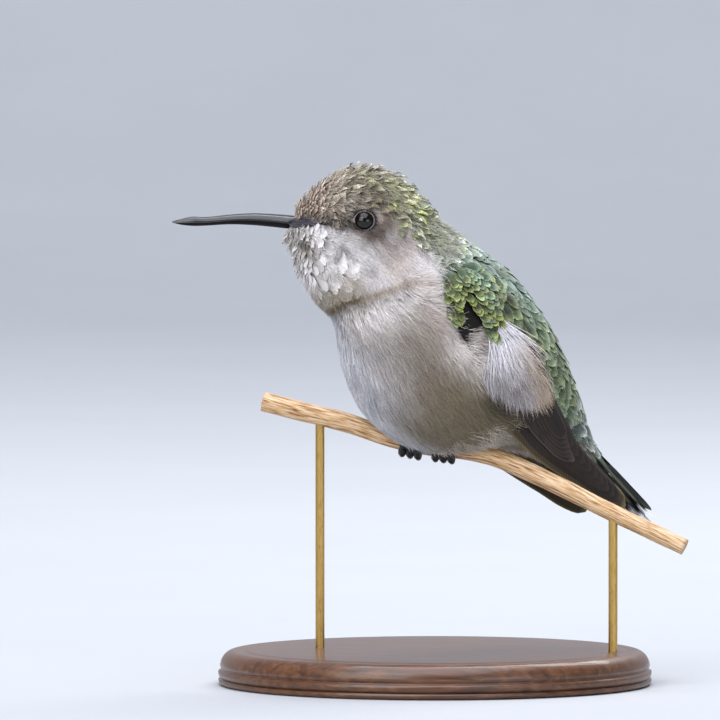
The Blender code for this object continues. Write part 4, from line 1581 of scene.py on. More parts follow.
    @staticmethod
    def chin_height(places: Places) -> Array:
        """Lets the chin's feathers and barbs stand off under the bill."""
        return 0.5 * span(places.run, 1.2, 0.0) * span(places.drop, 0.6, 0.8)

    def cap_and_back(self) -> list[Scales]:
        """Feathers of the upper side: scaly forehead, loose crown, nape and back.

        Returns:
            Their regions, from front to back.
        """
        marks, surface = self.marks, self.body.surface

        def above_edge(run: Array, turn: Array) -> Array:
            """Whether a place lies above the cap's edge."""
            drop = drop_of(turn)
            return (drop < along_table(run, marks.cap_edge) + 0.008) & ~self.on_gape(run, drop)

        return [
            Scales("forehead", surface, lambda run, turn: above_edge(run, turn) & (run < 2.75),
                   [(0, 0.36, 0.9, 0.5), (1.5, 0.43, 1.15, 0.6), (2.75, 0.5, 1.5, 0.72)], self.upper_paint, 101,
                   lift=0.2, wander=0.25, tone=0.2, fringe_from=0.55, root_depth=0.32, rows=6, columns=7),
            Scales("crown", surface, lambda run, turn: above_edge(run, turn) & (run >= 2.6) & (run < 6.4),
                   [(2.6, 0.56, 2.2, 0.7), (3.4, 0.68, 3.0, 0.95), (4.6, 0.74, 3.2, 1.1), (6.4, 0.76, 2.8, 1.25)],
                   self.upper_paint, 111, lift=0.62, wander=0.4, tone=0.36, widest=0.5, tip_width=0.28, recede=0.42,
                   fringe_from=0.45, root_depth=0.35, jag=0.14, streak=0.3),
            Scales("nape_and_back", surface, lambda run, turn: above_edge(run, turn) & (run >= 6.2),
                   [(6.2, 0.66, 2.5, 1.2), (7.2, 0.8, 3.2, 1.6), (8.6, 1.0, 4.0, 2.1), (11, 1.12, 4.4, 2.4),
                    (13, 1.15, 4.0, 2.3), (16, 1.25, 3.8, 2.3)], self.upper_paint, 121, lift=0.11, wander=0.3,
                   tone=0.24, streak=0.18, fringe_from=0.62, root_depth=0.35, camber=0.12, columns=13),
        ]

    def throat(self) -> list[Scales]:
        """The rounded white feathers of chin and throat, the largest in its middle.

        Returns:
            Their regions, from front to back.
        """

        def inside(run: Array, turn: Array) -> Array:
            """Whether a place lies on chin or throat."""
            edge = np.interp(run, [0, 2, 2.6, 3, 4, 5, 6], [0.5, 0.5, 0.515, 0.545, 0.57, 0.61, 0.66])
            return (drop_of(turn) > edge) & ~self.on_gape(run, drop_of(turn)) & (self.past_crease(run, turn) < -0.72)

        shared = {"paint": self.throat_paint, "height": self.chin_height, "root_depth": 0.3, "fringe_from": 0.1,
                  "tone": 0.07, "streak": 0.04, "columns": 15}
        return [
            Scales("chin", self.body.surface, lambda run, turn: inside(run, turn) & (run < 2.3),
                   [(-0.3, 0.4, 1.0, 0.6), (1.0, 0.48, 1.3, 0.8), (2.3, 0.66, 1.7, 1.2)], seed=132, lift=0.42,
                   wander=0.35, jag=0.07, recede=0.16, tip_width=0.35, camber=0.12, rows=7, **shared),
            Scales("throat", self.body.surface, lambda run, turn: inside(run, turn) & (run >= 2.3),
                   [(2.3, 0.7, 1.7, 1.35), (3.4, 1.05, 2.6, 2.0), (4.8, 1.15, 2.8, 2.3), (6, 0.95, 2.3, 1.8)],
                   seed=102, lift=0.15, wander=0.28, jag=0.035, recede=0.1, tip_width=0.42, camber=0.13, rows=8,
                   **shared),
        ]

    def on_face(self, run: Array, turn: Array) -> Array:
        """Where the face's short barbs grow.

        Args:
            run: The places' runs.
            turn: Their turns.

        Returns:
            How thickly they grow.
        """
        drop = drop_of(turn)
        edge = np.interp(run, [0, 2, 3, 4, 5, 6], [0.49, 0.505, 0.525, 0.555, 0.61, 0.7])
        clear = np.interp(run, [6.9, 7.3], [-0.012, 0.02])
        inside = (drop > along_table(run, self.marks.cap_edge) + clear) & (drop < edge)
        inside &= self.past_crease(run, turn) < 0.0
        inside &= ~self.on_gape(run, drop)
        return np.where(inside, np.interp(run, [0, 3, 8], [3.0, 2.0, 1.0]), 0)

    def on_throat_edge(self, run: Array, turn: Array) -> Array:
        """The line of feather tips where the throat overhangs the breast."""
        return np.where((np.abs(self.past_crease(run, turn) + 0.6) < 0.2) & (drop_of(turn) > 0.55), 1.0, 0)

    def on_breast(self, run: Array, turn: Array) -> Array:
        """Where the breast's barbs grow."""
        front = np.interp(run, [7.0, 7.6, 8.4, 8.8], [0.43, 0.48, 0.48, 0.42])
        return np.where((self.past_crease(run, turn) > -0.2) & (drop_of(turn) > front) & (run < 12.6), 1.0, 0)

    @staticmethod
    def on_belly(run: Array, turn: Array) -> Array:
        """Where the belly's and vent's barbs grow."""
        return np.where((run > 11.6) & (run < 15.6) & (drop_of(turn) > 0.46), 1.0, 0)

    @staticmethod
    def on_wing_border(run: Array, turn: Array) -> Array:
        """Where barbs curl up over the front edge of the wing.

        Args:
            run: The places' runs.
            turn: Their turns.

        Returns:
            How thickly they grow.
        """
        drop = drop_of(turn)
        front = np.interp(run, [6.9, 7.4, 8.2, 9.2, 9.9, 10.5, 11.2, 12.0],
                          [0.43, 0.48, 0.52, 0.54, 0.53, 0.53, 0.56, 0.59])
        beside_gap = (run > 8.5) & (run < 9.1)
        return np.where((run > 6.8) & (run < 12.0) & (np.abs(drop - front) < 0.025) & ~beside_gap, 1.0, 0)

    def on_throat(self, run: Array, turn: Array) -> Array:
        """Where fans of soft barbs fringe the throat's feathers.

        Args:
            run: The places' runs.
            turn: Their turns.

        Returns:
            How thickly they grow.
        """
        drop = drop_of(turn)
        edge = np.interp(run, [0, 2, 3, 4, 5, 6], [0.5, 0.5, 0.51, 0.53, 0.58, 0.62])
        inside = (drop > edge) & (self.past_crease(run, turn) < -0.65) & ~self.on_gape(run, drop)
        rim = np.maximum(smooth_step(drop, 0.8, 0.95), smooth_step(run, 2.2, 1.2))
        return np.where(inside, 0.25 + 1.6 * rim, 0)

    @staticmethod
    def on_vent(run: Array, turn: Array) -> Array:
        """Where the pale fluff between belly and tail grows."""
        drop = drop_of(turn)
        return np.where((run > 12.2) & (run < 15.0) & (drop > 0.52) & (drop < 0.95), 1.0, 0)

    def on_crown(self, run: Array, turn: Array) -> Array:
        """Where loose barbs stand out of the crown."""
        return np.where((run > 2.4) & (run < 7.4) & (drop_of(turn) < along_table(run, self.marks.cap_edge)), 1.0, 0)

    def soft_parts(self) -> list[Strands]:
        """Loose barbs of face, throat's edge, breast, belly and the flanks' border with the wings.

        Returns:
            Their regions.
        """
        surface = self.body.surface
        return [
            Strands("crown_barbs", surface, self.on_crown, 900, [(2.4, 1.7), (4, 2.5), (7.4, 2.3)],
                    self.crown_barb_paint, 110, height=everywhere(0.15), width=0.075, per_tuft=8, tuft_width=0.5,
                    root_depth=0.3, lift=0.4, spread=0.2, wander=0.4, shade=0.22, lock=0.35, gather=0.6),
            Strands("throat_fringe", surface, self.on_throat, 620, [(0, 0.9), (1.5, 1.3), (3, 1.8), (4.5, 2.3)],
                    self.throat_fringe_paint, 109, height=self.chin_height, width=0.1, per_tuft=16, tuft_width=0.4,
                    root_depth=0.25, lift=0.3, spread=0.4, wander=0.3, shade=0.06, lock=0.2),
            Strands("face", surface, self.on_face, 4600, [(0, 0.6), (3, 1.0), (5, 1.5), (8, 2.4)],
                    self.soft_paint, 103, width=0.085, tuft_width=0.32, root_depth=0.32, lift=0.14, shade=0.22,
                    lock=0.42, gather=0.35, rows=3),
            Strands("throat_edge", surface, self.on_throat_edge, 560, [(4, 1.5), (7, 1.8)],
                    self.throat_fringe_paint, 104, width=0.1, per_tuft=10, lift=0.22, root_depth=0.3, wander=0.25,
                    shade=0.08, lock=0.25),
            Strands("breast", surface, self.on_breast, 9000, [(5, 2.8), (7, 3.8), (12, 4.4)], self.soft_paint, 105,
                    share=lambda p: 0.35 + 0.65 * span(self.past_crease(p.run, p.turn), 0.2, 1.2),
                    width=0.1, tuft_width=0.5, root_depth=0.6, lift=0.16, shade=0.22, gather=0.4, spread=0.12,
                    per_tuft=8, lock=0.22),
            Strands("belly", surface, self.on_belly, 1700, [(11, 3.6), (15, 3.0)], self.soft_paint, 106, width=0.1,
                    tuft_width=0.7, root_depth=0.6, lift=0.38, spread=0.35, wander=0.26, shade=0.22, lock=0.35),
            Strands("vent", surface, self.on_vent, 620, [(12, 3.2), (15, 2.6)], self.vent_paint, 116, width=0.1,
                    tuft_width=0.8, root_depth=0.3, lift=0.55, spread=0.6, wander=0.4, shade=0.1, lock=0.25),
            Strands("wing_border", surface, self.on_wing_border, 800, [(6.8, 2.4), (8.5, 2.6), (9.5, 3.6), (12, 4.4)],
                    self.soft_paint, 108, heading=everywhere(-0.4), width=0.1, tuft_width=0.7, root_depth=0.4,
                    lift=0.25, curl=1.1, spread=0.25, wander=0.22, gather=0.4, lock=0.3),
        ]

    def build(self, finishes: Finishes) -> None:
        """Makes skin and feathers.

        Args:
            finishes: Every part's finish.
        """
        self.skin(finishes.skin)
        self.gape(finishes.gape)
        for regions, finish, slot in ((self.cap_and_back(), finishes.glossy, "back_plumage"),
                                      (self.throat(), finishes.vane, "throat_plumage"),
                                      (self.soft_parts(), finishes.down, "breast_plumage")):
            for region in regions:
                region.build(finish, slot, self.eyes, self.eye_gap)


# ------------------------------------------------------------------ wings and tail


@dataclass
class Blade:
    """One flight feather: a closed thin vane with a shaft, wider on one side of it than on the other."""

    line: Array
    normals: Array
    left: float  # mm from the shaft to this side's edge
    right: float
    colour: str
    edge: str
    tip: str = ""  # colour of a tip, if there is one
    band: str = ""  # colour of a band before the tip, if there is one
    tip_from: float = 0.86
    round_from: float = 0.72
    root_width: float = 0.55
    camber: float = 0.18
    thickness: float = 0.07
    edge_from: float = 0.8
    seed: int = 0
    columns: int = 9

    def shape(self) -> Shape:
        """Makes the feather's surface.

        Returns:
            Its closed form, coloured.
        """
        v, u = np.linspace(0, 1, len(self.line))[:, None], np.linspace(-1, 1, self.columns)[None]
        along = unit(np.gradient(self.line, axis=0))
        across = unit(np.cross(self.normals, along))
        up = unit(np.cross(along, across))
        grown = self.root_width + (1 - self.root_width) * smooth_step(v / 0.5)
        closing = np.sqrt(1 - 0.985 * np.clip((v - self.round_from) / (1 - self.round_from), 0, 1) ** 2)
        reach = np.where(u < 0, self.left, self.right) * grown * closing
        wavy = 1 + 0.02 * np.sin(v * 40 + self.seed) * (np.abs(u) > 0.99)
        offset = u * reach * wavy
        shaft = 0.045 * hump(u, 0, 0.16) * (1 - 0.7 * v)
        height = -self.camber * reach * u**2 + shaft
        top = self.line[:, None] + across[:, None] * offset[..., None] + up[:, None] * height[..., None]
        low = top - up[:, None] * (self.thickness * (1 - 0.75 * np.abs(u)))[..., None]
        rings = np.concatenate([top, low[:, ::-1]], 1)
        length = float(np.linalg.norm(np.diff(self.line, axis=0), axis=1).sum())
        colours = self.colours(u, v)
        # The lower face takes the upper face's colours darkened to 0.8: painted shade.
        colours = np.concatenate([colours, colours[:, ::-1] * 0.8], 1)
        vane = np.stack(np.broadcast_arrays(offset, length * v, self.seed * 3.7), -1)
        vane = np.concatenate([vane, vane[:, ::-1]], 1)
        return Shape.of_rings(rings, colours=colours, vane=vane)

    def colours(self, u: Array, v: Array) -> Array:
        """Colours of the upper face.

        Args:
            u: Place across the feather, -1 to 1, 1 x columns.
            v: Place along it, 0 to 1, rows x 1.

        Returns:
            Linear colours, rows x columns x 3.
        """
        own_tone = 0.82 + 0.36 * np.random.default_rng(self.seed).uniform()
        base = np.broadcast_to(linear(self.colour), (v.size, u.size, 3)) * own_tone
        base = mix(base, base * 0.6, 0.6 * hump(u, 0, 0.1))
        rim = np.maximum(smooth_step(np.abs(u), self.edge_from, 1.0), smooth_step(v, 0.955, 1.0))
        colours = mix(base, linear(self.edge), rim * 0.8)
        if self.band:
            colours = mix(colours, linear(self.band), smooth_step(v, self.tip_from - 0.22, self.tip_from - 0.12))
        if self.tip:
            bent = v + 0.03 * u**2 + 0.012 * np.sin(u * 9 + self.seed)
            colours = mix(colours, linear(self.tip), smooth_step(bent, self.tip_from - 0.01, self.tip_from + 0.015))
        return colours


@dataclass
class Wing:
    """A folded wing: scale-like coverts in two lobes, then secondaries over long primaries."""

    body: Body
    side: str
    stations: dict[str, tuple] = field(default_factory=lambda: {
        # front edge, then back edge: behind, least distance out and height in the trunk's frame
        "shoulder": ((-3.3, 6.0, 59.2), (-0.7, 5.0, 60.4)),
        "wrist": ((-3.5, 6.0, 56.4), (3.6, 5.0, 59.0)),
        "lesser_coverts": ((-2.6, 8.0, 52.1), (7.1, 6.5, 55.3)),
        "greater_coverts": ((-0.6, 9.0, 48.3), (10.6, 7.0, 50.0)),
        "flank": ((1.9, 9.8, 43.4), (12.4, 7.6, 44.7)),
        "bend": ((4.8, 10.0, 38.6), (14.3, 7.8, 39.6)),
        "secondary_tips": ((10.3, 8.9, 33.6), (18.0, 7.1, 34.6)),
        "primaries": ((17.1, 7.3, 29.6), (22.5, 6.2, 30.6)),
        "near_tip": ((22.6, 6.1, 26.5), (25.7, 5.6, 27.8)),
        "tip": ((26.6, 5.4, 24.9), (27.2, 5.3, 25.5)),
    })
    droop: dict[str, float] = field(default_factory=lambda: {"left": 0.0, "right": math.radians(2.5)})
    body_gap: float = 0.25
    lift: float = 0.2
    primaries: int = 10
    secondaries: int = 6
    blade_root: float = 3.2  # run at which the flight feathers begin
    blade_rows: int = 22

    @property
    def sign(self) -> float:
        """-1 on the left and 1 on the right."""
        return -1.0 if self.side == "left" else 1.0

    def surface(self) -> Surface:
        """The wing's middle surface, laid over the body.

        Returns:
            The surface; run goes from shoulder to tip, and turn from the front edge to the back edge.
        """
        table = smooth_between([f + b for f, b in self.stations.values()], np.linspace(0, 9, 46))
        fore, aft = table[:, None, :3], table[:, None, 3:]
        points = fore + (aft - fore) * np.linspace(0, 1, 13)[None, :, None]
        hinge = np.array(self.stations["shoulder"][1], float)
        away = points - hinge
        cos, sin = math.cos(self.droop[self.side]), math.sin(self.droop[self.side])
        behind, height = away[..., 0] * cos + away[..., 2] * sin, -away[..., 0] * sin + away[..., 2] * cos
        points = hinge + np.stack([behind, away[..., 1], height], -1)
        for point in points.reshape(-1, 3):
            apart = self.body_gap + self.body.reach(point, self.sign) - point[1]
            point[1] = self.sign * (point[1] + (apart + math.hypot(apart, 0.6)) / 2 + self.lift)
        return Surface(self.body.trunk_to_world(points), 9.0, False, -self.sign)

    def plate(self, surface: Surface, finish: Material, slot: str) -> bpy.types.Object:
        """The dark wing under the coverts, which shows in the gap between their lobes; its near black is partly the
        wing's own dark and partly painted shade in that gap.

        Args:
            surface: The wing's middle surface.
            finish: Its material.
            slot: The record's slot that it stands for; not used.

        Returns:
            The object.
        """
        run, turn = np.meshgrid(np.linspace(0.7, 3.9, 24), np.linspace(0.04, 0.96, 14), indexing="ij")
        places = surface.places(run.ravel(), turn.ravel())
        edge = 1 - np.abs(2 * places.turn - 1) ** 6
        top = places.points + places.normals * (0.1 * edge)[:, None]
        low = places.points - places.normals * (0.35 * edge)[:, None]
        rings = np.concatenate([top.reshape(*run.shape, 3), low.reshape(*run.shape, 3)[:, ::-1]], 1)
        # Near black, darker than the flight feathers: their own dark colour with painted shade for the gap between
        # the lobes.
        colours = np.broadcast_to(linear("#14110d"), rings.shape)
        shape = Shape.of_rings(rings, colours=colours, vane=0 * colours)
        piece = shape.to_object(f"wing_{self.side}_under_coverts", finish)
        return piece

    @staticmethod
    def on_lobes(run: Array, turn: Array) -> Array:
        """Whether a place lies in the front or the rear lobe.

        Args:
            run: The places' runs.
            turn: Their turns.

        Returns:
            A mask of the places.
        """
        front = turn < np.interp(run, [0.3, 0.8, 1.2, 1.75, 2.0], [0.34, 0.31, 0.26, 0.15, 0.08])
        front &= (run < 1.8) & (turn > 0.01)
        rear = turn > np.interp(run, [0.3, 0.8, 1.35, 2.08, 2.6], [0.3, 0.34, 0.4, 0.38, 0.34])
        rear &= turn < np.interp(run, [0, 1.2, 1.65, 2.1, 2.6], [1.0, 0.84, 0.72, 0.6, 0.46])
        rear &= run < 2.55
        return (front | rear) & (run > 0.1)

    @staticmethod
    def on_shoulder(run: Array, turn: Array) -> Array:
        """Whether a place lies under the shoulder feathers along the wing's upper edge."""
        edge = np.interp(run, [-0.3, 2.0, 2.65, 3.2, 3.85, 4.5, 5.0], [0.6, 0.78, 0.76, 0.86, 0.93, 0.92, 0.97])
        return (turn > edge) & (run > -0.3) & (run < 4.3)

    @staticmethod
    def covert_paint(places: Places) -> tuple[Array, Array]:
        """Olive centres with bright yellow-green rims.

        Args:
            places: The roots.

        Returns:
            Linear colours of the root end or centre and of the tip or fringe.
        """
        blot, each = mottle(places.points, 2.0, 21), mottle(places.points, 0.4, 22)
        centre = colours_along(blot, [(-1.2, "#2f361a"), (0, "#404926"), (1.2, "#515a38")])
        fringe = colours_along(blot + 0.5 * each, [(-1.2, "#8a944a"), (0, "#9ca766"), (1.2, "#9aad88")])
        high = smooth_step(places.turn, 0.45, 0.8) * smooth_step(places.run, 2.2, 0.6)
        return mix(centre, linear("#35513f"), 0.7 * high), mix(fringe, linear("#87a893"), 0.7 * high)

    @staticmethod
    def shoulder_paint(places: Places) -> tuple[Array, Array]:
        """Greens that pass into blue-green, as on the back.

        Args:
            places: The roots.

        Returns:
            Linear colours of the root end or centre and of the tip or fringe.
        """
        blot, each = mottle(places.points, 2.6, 24), mottle(places.points, 0.4, 25)
        centre = colours_along(blot, [(-1.2, "#2b3520"), (0, "#384a2e"), (1.2, "#3a564a")])
        fringe = colours_along(blot + 0.6 * each, [(-1.2, "#929b68"), (0, "#87976f"), (1.2, "#86a596")])
        return centre, fringe

    @staticmethod
    def covert_height(places: Places) -> Array:
        """Full in the middle of a lobe and low at its edges.

        Args:
            places: The roots.

        Returns:
            Millimetres above the wing.
        """
        front = 1 - np.abs(np.clip((places.turn - 0.13) / 0.15, -1, 1)) ** 3
        rear = 1 - np.abs(np.clip((places.turn - 0.6) / 0.4, -1, 1)) ** 3
        lobe = np.where(places.turn < 0.27, front, rear)
        return 0.15 + 0.75 * lobe * smooth_step(places.run, -0.2, 0.8)

    def coverts(self, surface: Surface) -> list[Scales]:
        """The green coverts of the front and the rear lobe, and the long shoulder feathers above them.

        Args:
            surface: The wing's middle surface.

        Returns:
            Both regions.
        """
        seed = 140 if self.side == "left" else 150
        shared = {"root_depth": 0.4, "fringe_from": 0.62, "tone": 0.24, "streak": 0.18, "columns": 13}
        return [
            Scales(f"wing_{self.side}_coverts", surface, self.on_lobes,
                   [(0, 0.55, 1.7, 1.1), (1, 0.62, 2.1, 1.3), (2.2, 0.7, 2.4, 1.4), (3.1, 0.75, 2.4, 1.5)],
                   self.covert_paint, seed, height=self.covert_height, lift=0.14, wander=0.2, **shared),
            Scales(f"wing_{self.side}_shoulder_feathers", surface, self.on_shoulder,
                   [(-0.3, 0.8, 2.6, 1.6), (1.5, 1.0, 3.6, 2.1), (4.5, 1.1, 4.0, 2.5)], self.shoulder_paint, seed + 2,
                   heading=lambda p: -0.25 * smooth_step(p.run, 0.5, 2.5), height=everywhere(0.5), lift=0.1,
                   wander=0.22, **shared),
        ]

    @staticmethod
    def on_tuft(run: Array, turn: Array) -> Array:
        """Where their roots lie.

        Args:
            run: The places' runs.
            turn: Their turns.

        Returns:
            How thickly they grow.
        """
        left = np.interp(run, [2.4, 2.7, 3.0, 3.4, 3.7, 4.0, 4.4], [0.6, 0.52, 0.36, 0.2, 0.14, 0.2, 0.5])
        right = np.interp(run, [2.4, 2.65, 3.2, 3.85, 4.4], [0.63, 0.7, 0.78, 0.85, 0.82])
        return np.where((turn > left) & (turn < right) & (run > 2.4) & (run < 4.3), 1.0, 0)

    @staticmethod
    def tuft_paint(places: Places) -> tuple[Array, Array]:
        """White at the front and in the middle, buff towards the rear, with brown among them.

        Args:
            places: The roots.

        Returns:
            Linear colours of the root end or centre and of the tip or fringe.
        """
        each = mottle(places.points, 0.5, 27)
        rear = smooth_step(places.turn, 0.35, 0.8) * smooth_step(places.run, 2.6, 3.5)
        tip = mix(linear("#f2f0f7") + np.zeros((len(rear), 3)), linear("#bda47f"), 0.85 * rear)
        low = smooth_step(places.run, 3.0, 4.0) * (1 - rear)
        tip = mix(tip, linear("#979296"), 0.75 * low)
        tip = mix(tip, linear("#6b5a46"), 0.8 * (each > 0.6) * np.clip(rear + low, 0, 1))
        return tip * 0.8, tip

    @staticmethod
    def on_bridge(run: Array, turn: Array) -> Array:
        """Where the flank's barbs come up over the wing's front edge."""
        return np.where((run > 2.3) & (run < 3.6) & (turn < 0.14), 1.0, 0)

    @staticmethod
    def bridge_paint(places: Places) -> tuple[Array, Array]:
        """Pale beige barbs, brown at their roots."""
        tip = mix(linear("#ddd5d2"), linear("#9a8f86"), np.clip(0.5 + mottle(places.points, 0.7, 28), 0, 1))
        return tip * 0.45, tip

    @staticmethod
    def room(places: Places) -> Array:
        """How long a barb may be, so that none passes the tuft's end."""
        end = np.interp(places.turn, [0, 0.25, 0.5, 0.75, 1.0], [4.1, 4.45, 4.8, 4.95, 4.8])
        return np.clip((end - places.run) * 4.4, 1.3, 6.5)

    @staticmethod
    def tuft_height(places: Places) -> Array:
        """A soft mound, highest in its middle."""
        return 0.25 + 0.75 * np.sin(np.clip(places.turn, 0.05, 0.95) * math.pi) ** 0.7

    def flank_tuft(self, surface: Surface) -> list[Strands]:
        """The long white and buff barbs that lie out of the flank over the folded wing.

        Args:
            surface: The wing's middle surface.

        Returns:
            Their regions.
        """
        seed = 107 if self.side == "left" else 117
        shared = {"paint": self.tuft_paint, "height": self.tuft_height, "root_depth": 0.5, "longest": self.room,
                  "heading": lambda p: 0.35 * (p.turn - 0.35) - 0.15, "lengths": [(2.4, 6.0), (4.4, 6.0)]}
        return [
            Strands(f"flank_tuft_{self.side}", surface, self.on_tuft, tufts=520, seed=seed, width=0.1, per_tuft=10,
                    tuft_width=0.8, lift=0.25, spread=0.12, wander=0.16, shade=0.2, lock=0.28, gather=0.4, **shared),
            Strands(f"flank_locks_{self.side}", surface, self.on_tuft, tufts=190, seed=seed + 1, width=0.11,
                    per_tuft=20, tuft_width=1.3, lift=0.5, spread=0.05, wander=0.22, shade=0.16, lock=0.22,
                    gather=0.85, curl=0.35, rows=6, **shared),
            Strands(f"flank_bridge_{self.side}", surface, self.on_bridge, 170, [(1.8, 3.4), (3.4, 4.2)],
                    self.bridge_paint, seed + 3, heading=everywhere(0.9), height=everywhere(0.1), width=0.1,
                    per_tuft=10, tuft_width=0.5, lift=0.4, spread=0.2, wander=0.22, shade=0.2, lock=0.28, gather=0.4),
        ]

    def blades(self, surface: Surface) -> tuple[Shape, Shape]:
        """The primaries and the secondaries.

        Args:
            surface: The wing's middle surface.

        Returns:
            Both rows of feathers.
        """
        long, short = [], []
        for i in range(self.primaries):
            share = i / (self.primaries - 1)
            line, normals = self.blade_line(surface, 9.0 - 2.9 * share**0.85, 0.1 + 0.72 * share,
                                            0.42 + 0.42 * share, -0.3 + 0.085 * i)
            outer, shade, rim = (1.5, "#40382a", "#837757") if i == 0 else (1.0, "#2c2522", "#3b332e")
            left, right = (outer, 2.1) if self.sign < 0 else (2.1, outer)
            long.append(Blade(line, normals, left, right, shade, rim, round_from=0.8, root_width=0.7, camber=0.1,
                              seed=i + 1).shape())
        for i in range(self.secondaries):
            share = i / (self.secondaries - 1)
            line, normals = self.blade_line(surface, 6.5 - 0.7 * share, 0.42 + 0.42 * share, 0.6 + 0.24 * share,
                                            0.5 + 0.09 * i)
            short.append(Blade(line, normals, 1.35, 1.35, "#2c2522", "#5d534c" if i == 0 else "#4a403b",
                               round_from=0.82, edge_from=0.9, root_width=0.8, camber=0.12, seed=30 + i).shape())
        return joined(long), joined(short)

    def blade_line(self, surface: Surface, tip: float, first: float, last: float,
                   height: float) -> tuple[Array, Array]:
        """Lays a flight feather's line over the wing.

        Args:
            surface: The wing's middle surface.
            tip: Run at which the feather ends.
            first: Turn at its root.
            last: Turn at its tip.
            height: How far it lies above the surface, in millimetres.

        Returns:
            Points of the line and the surface's normals there.
        """
        at = np.linspace(0, 1, self.blade_rows)
        places = surface.places(np.linspace(self.blade_root, tip, self.blade_rows), first * (1 - at) + at * last)
        return places.points + places.normals * height, places.normals

    def build(self, finishes: Finishes, eyes: Array) -> None:
        """Makes the wing.

        Args:
            finishes: Every part's finish.
            eyes: Centres of the eyes.
        """
        surface = self.surface()
        plate = self.plate(surface, finishes.flight, "flight_feathers")
        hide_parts(f"wing_{self.side}_coverts")
        for scales in self.coverts(surface):
            scales.build(finishes.glossy, "back_plumage", eyes, 0.0)
        for strands in self.flank_tuft(surface):
            strands.build(finishes.down, "breast_plumage", eyes, 0.0)
        for shape, part in zip(self.blades(surface), ("primaries", "secondaries")):
            piece = shape.to_object(f"wing_{self.side}_{part}_vanes", finishes.flight)
            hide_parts(f"wing_{self.side}_{part}")


@dataclass
class Tail:
    """Ten tail feathers in five groups, the outer ones with a black band and white tips."""

    body: Body
    tip: tuple[float, float] = (34.0, 23.2)
    slope: float = math.radians(45.5)
    length: float = 15.6
    groups: dict[str, tuple] = field(default_factory=lambda: {
        # out, depth, roll in degrees, half width, longer by
        "tail_central": (0.0, 0.0, 0.0, 2.7, -1.6),
        "tail_left_inner": (-2.35, 1.05, 14.0, 2.1, -0.7),
        "tail_right_inner": (2.35, 1.05, -14.0, 2.1, -0.7),
        "tail_left_outer": (-3.0, 2.0, 20.0, 1.8, 0.0),
        "tail_right_outer": (3.0, 2.0, -20.0, 1.8, 0.0),
    })

    def feather(self, name: str, which: int) -> Shape:
        """One of the two feathers of a group.

        Args:
            name: The group's name.
            which: 0 for the upper feather and 1 for the lower.

        Returns:
            The feather's form.
        """
        out, depth, roll, half_width, longer_by = self.groups[name]
        back = np.array([math.cos(self.slope), 0, -math.sin(self.slope)])
        up = np.array([math.sin(self.slope), 0, math.cos(self.slope)])
        outward = 1 if out > 0 else -1
        side = np.array([0, math.cos(math.radians(roll)), 0]) + up * math.sin(math.radians(roll))
        shift = (which - 0.5) * 2 * outward * half_width * 0.28
        length = self.length + longer_by - 0.5 * which * (name != "tail_central")
        root = np.array([self.tip[0], out, self.tip[1]]) - back * self.length - up * (depth + 0.16 * which - 0.08)
        share = np.linspace(0, 1, 24)[:, None]
        line = root + back * length * share + side * shift * (0.4 + 0.6 * share)
        normals = np.broadcast_to(np.cross(back, side), line.shape)
        line, normals = self.body.trunk_to_world(line), self.body.trunk_to_world(normals)
        normals = unit(normals - self.body.trunk_to_world(np.zeros(3)))
        wide = half_width * 0.72
        centre = name == "tail_central"
        inner = name.endswith("inner")
        colour = "#465240" if centre else "#47493f" if inner else "#5a5240"
        edge = "#66735a" if centre else "#565a4d"
        tip = "" if centre else "#e9e9ec"
        return Blade(line, normals, wide, wide, colour, edge, tip=tip, band="" if centre else "#141211",
                     tip_from=0.87 if inner else 0.8, round_from=0.8, root_width=0.6, camber=0.1,
                     seed=60 + which + 2 * list(self.groups).index(name)).shape()

    def build(self, finish: Material) -> None:
        """Makes the tail.

        Args:
            finish: Its material.
        """
        for name in self.groups:
            piece = joined([self.feather(name, 0), self.feather(name, 1)]).to_object(f"{name}_vanes", finish)
            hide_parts(name)


# ------------------------------------------------------------------ bill, eyes and feet


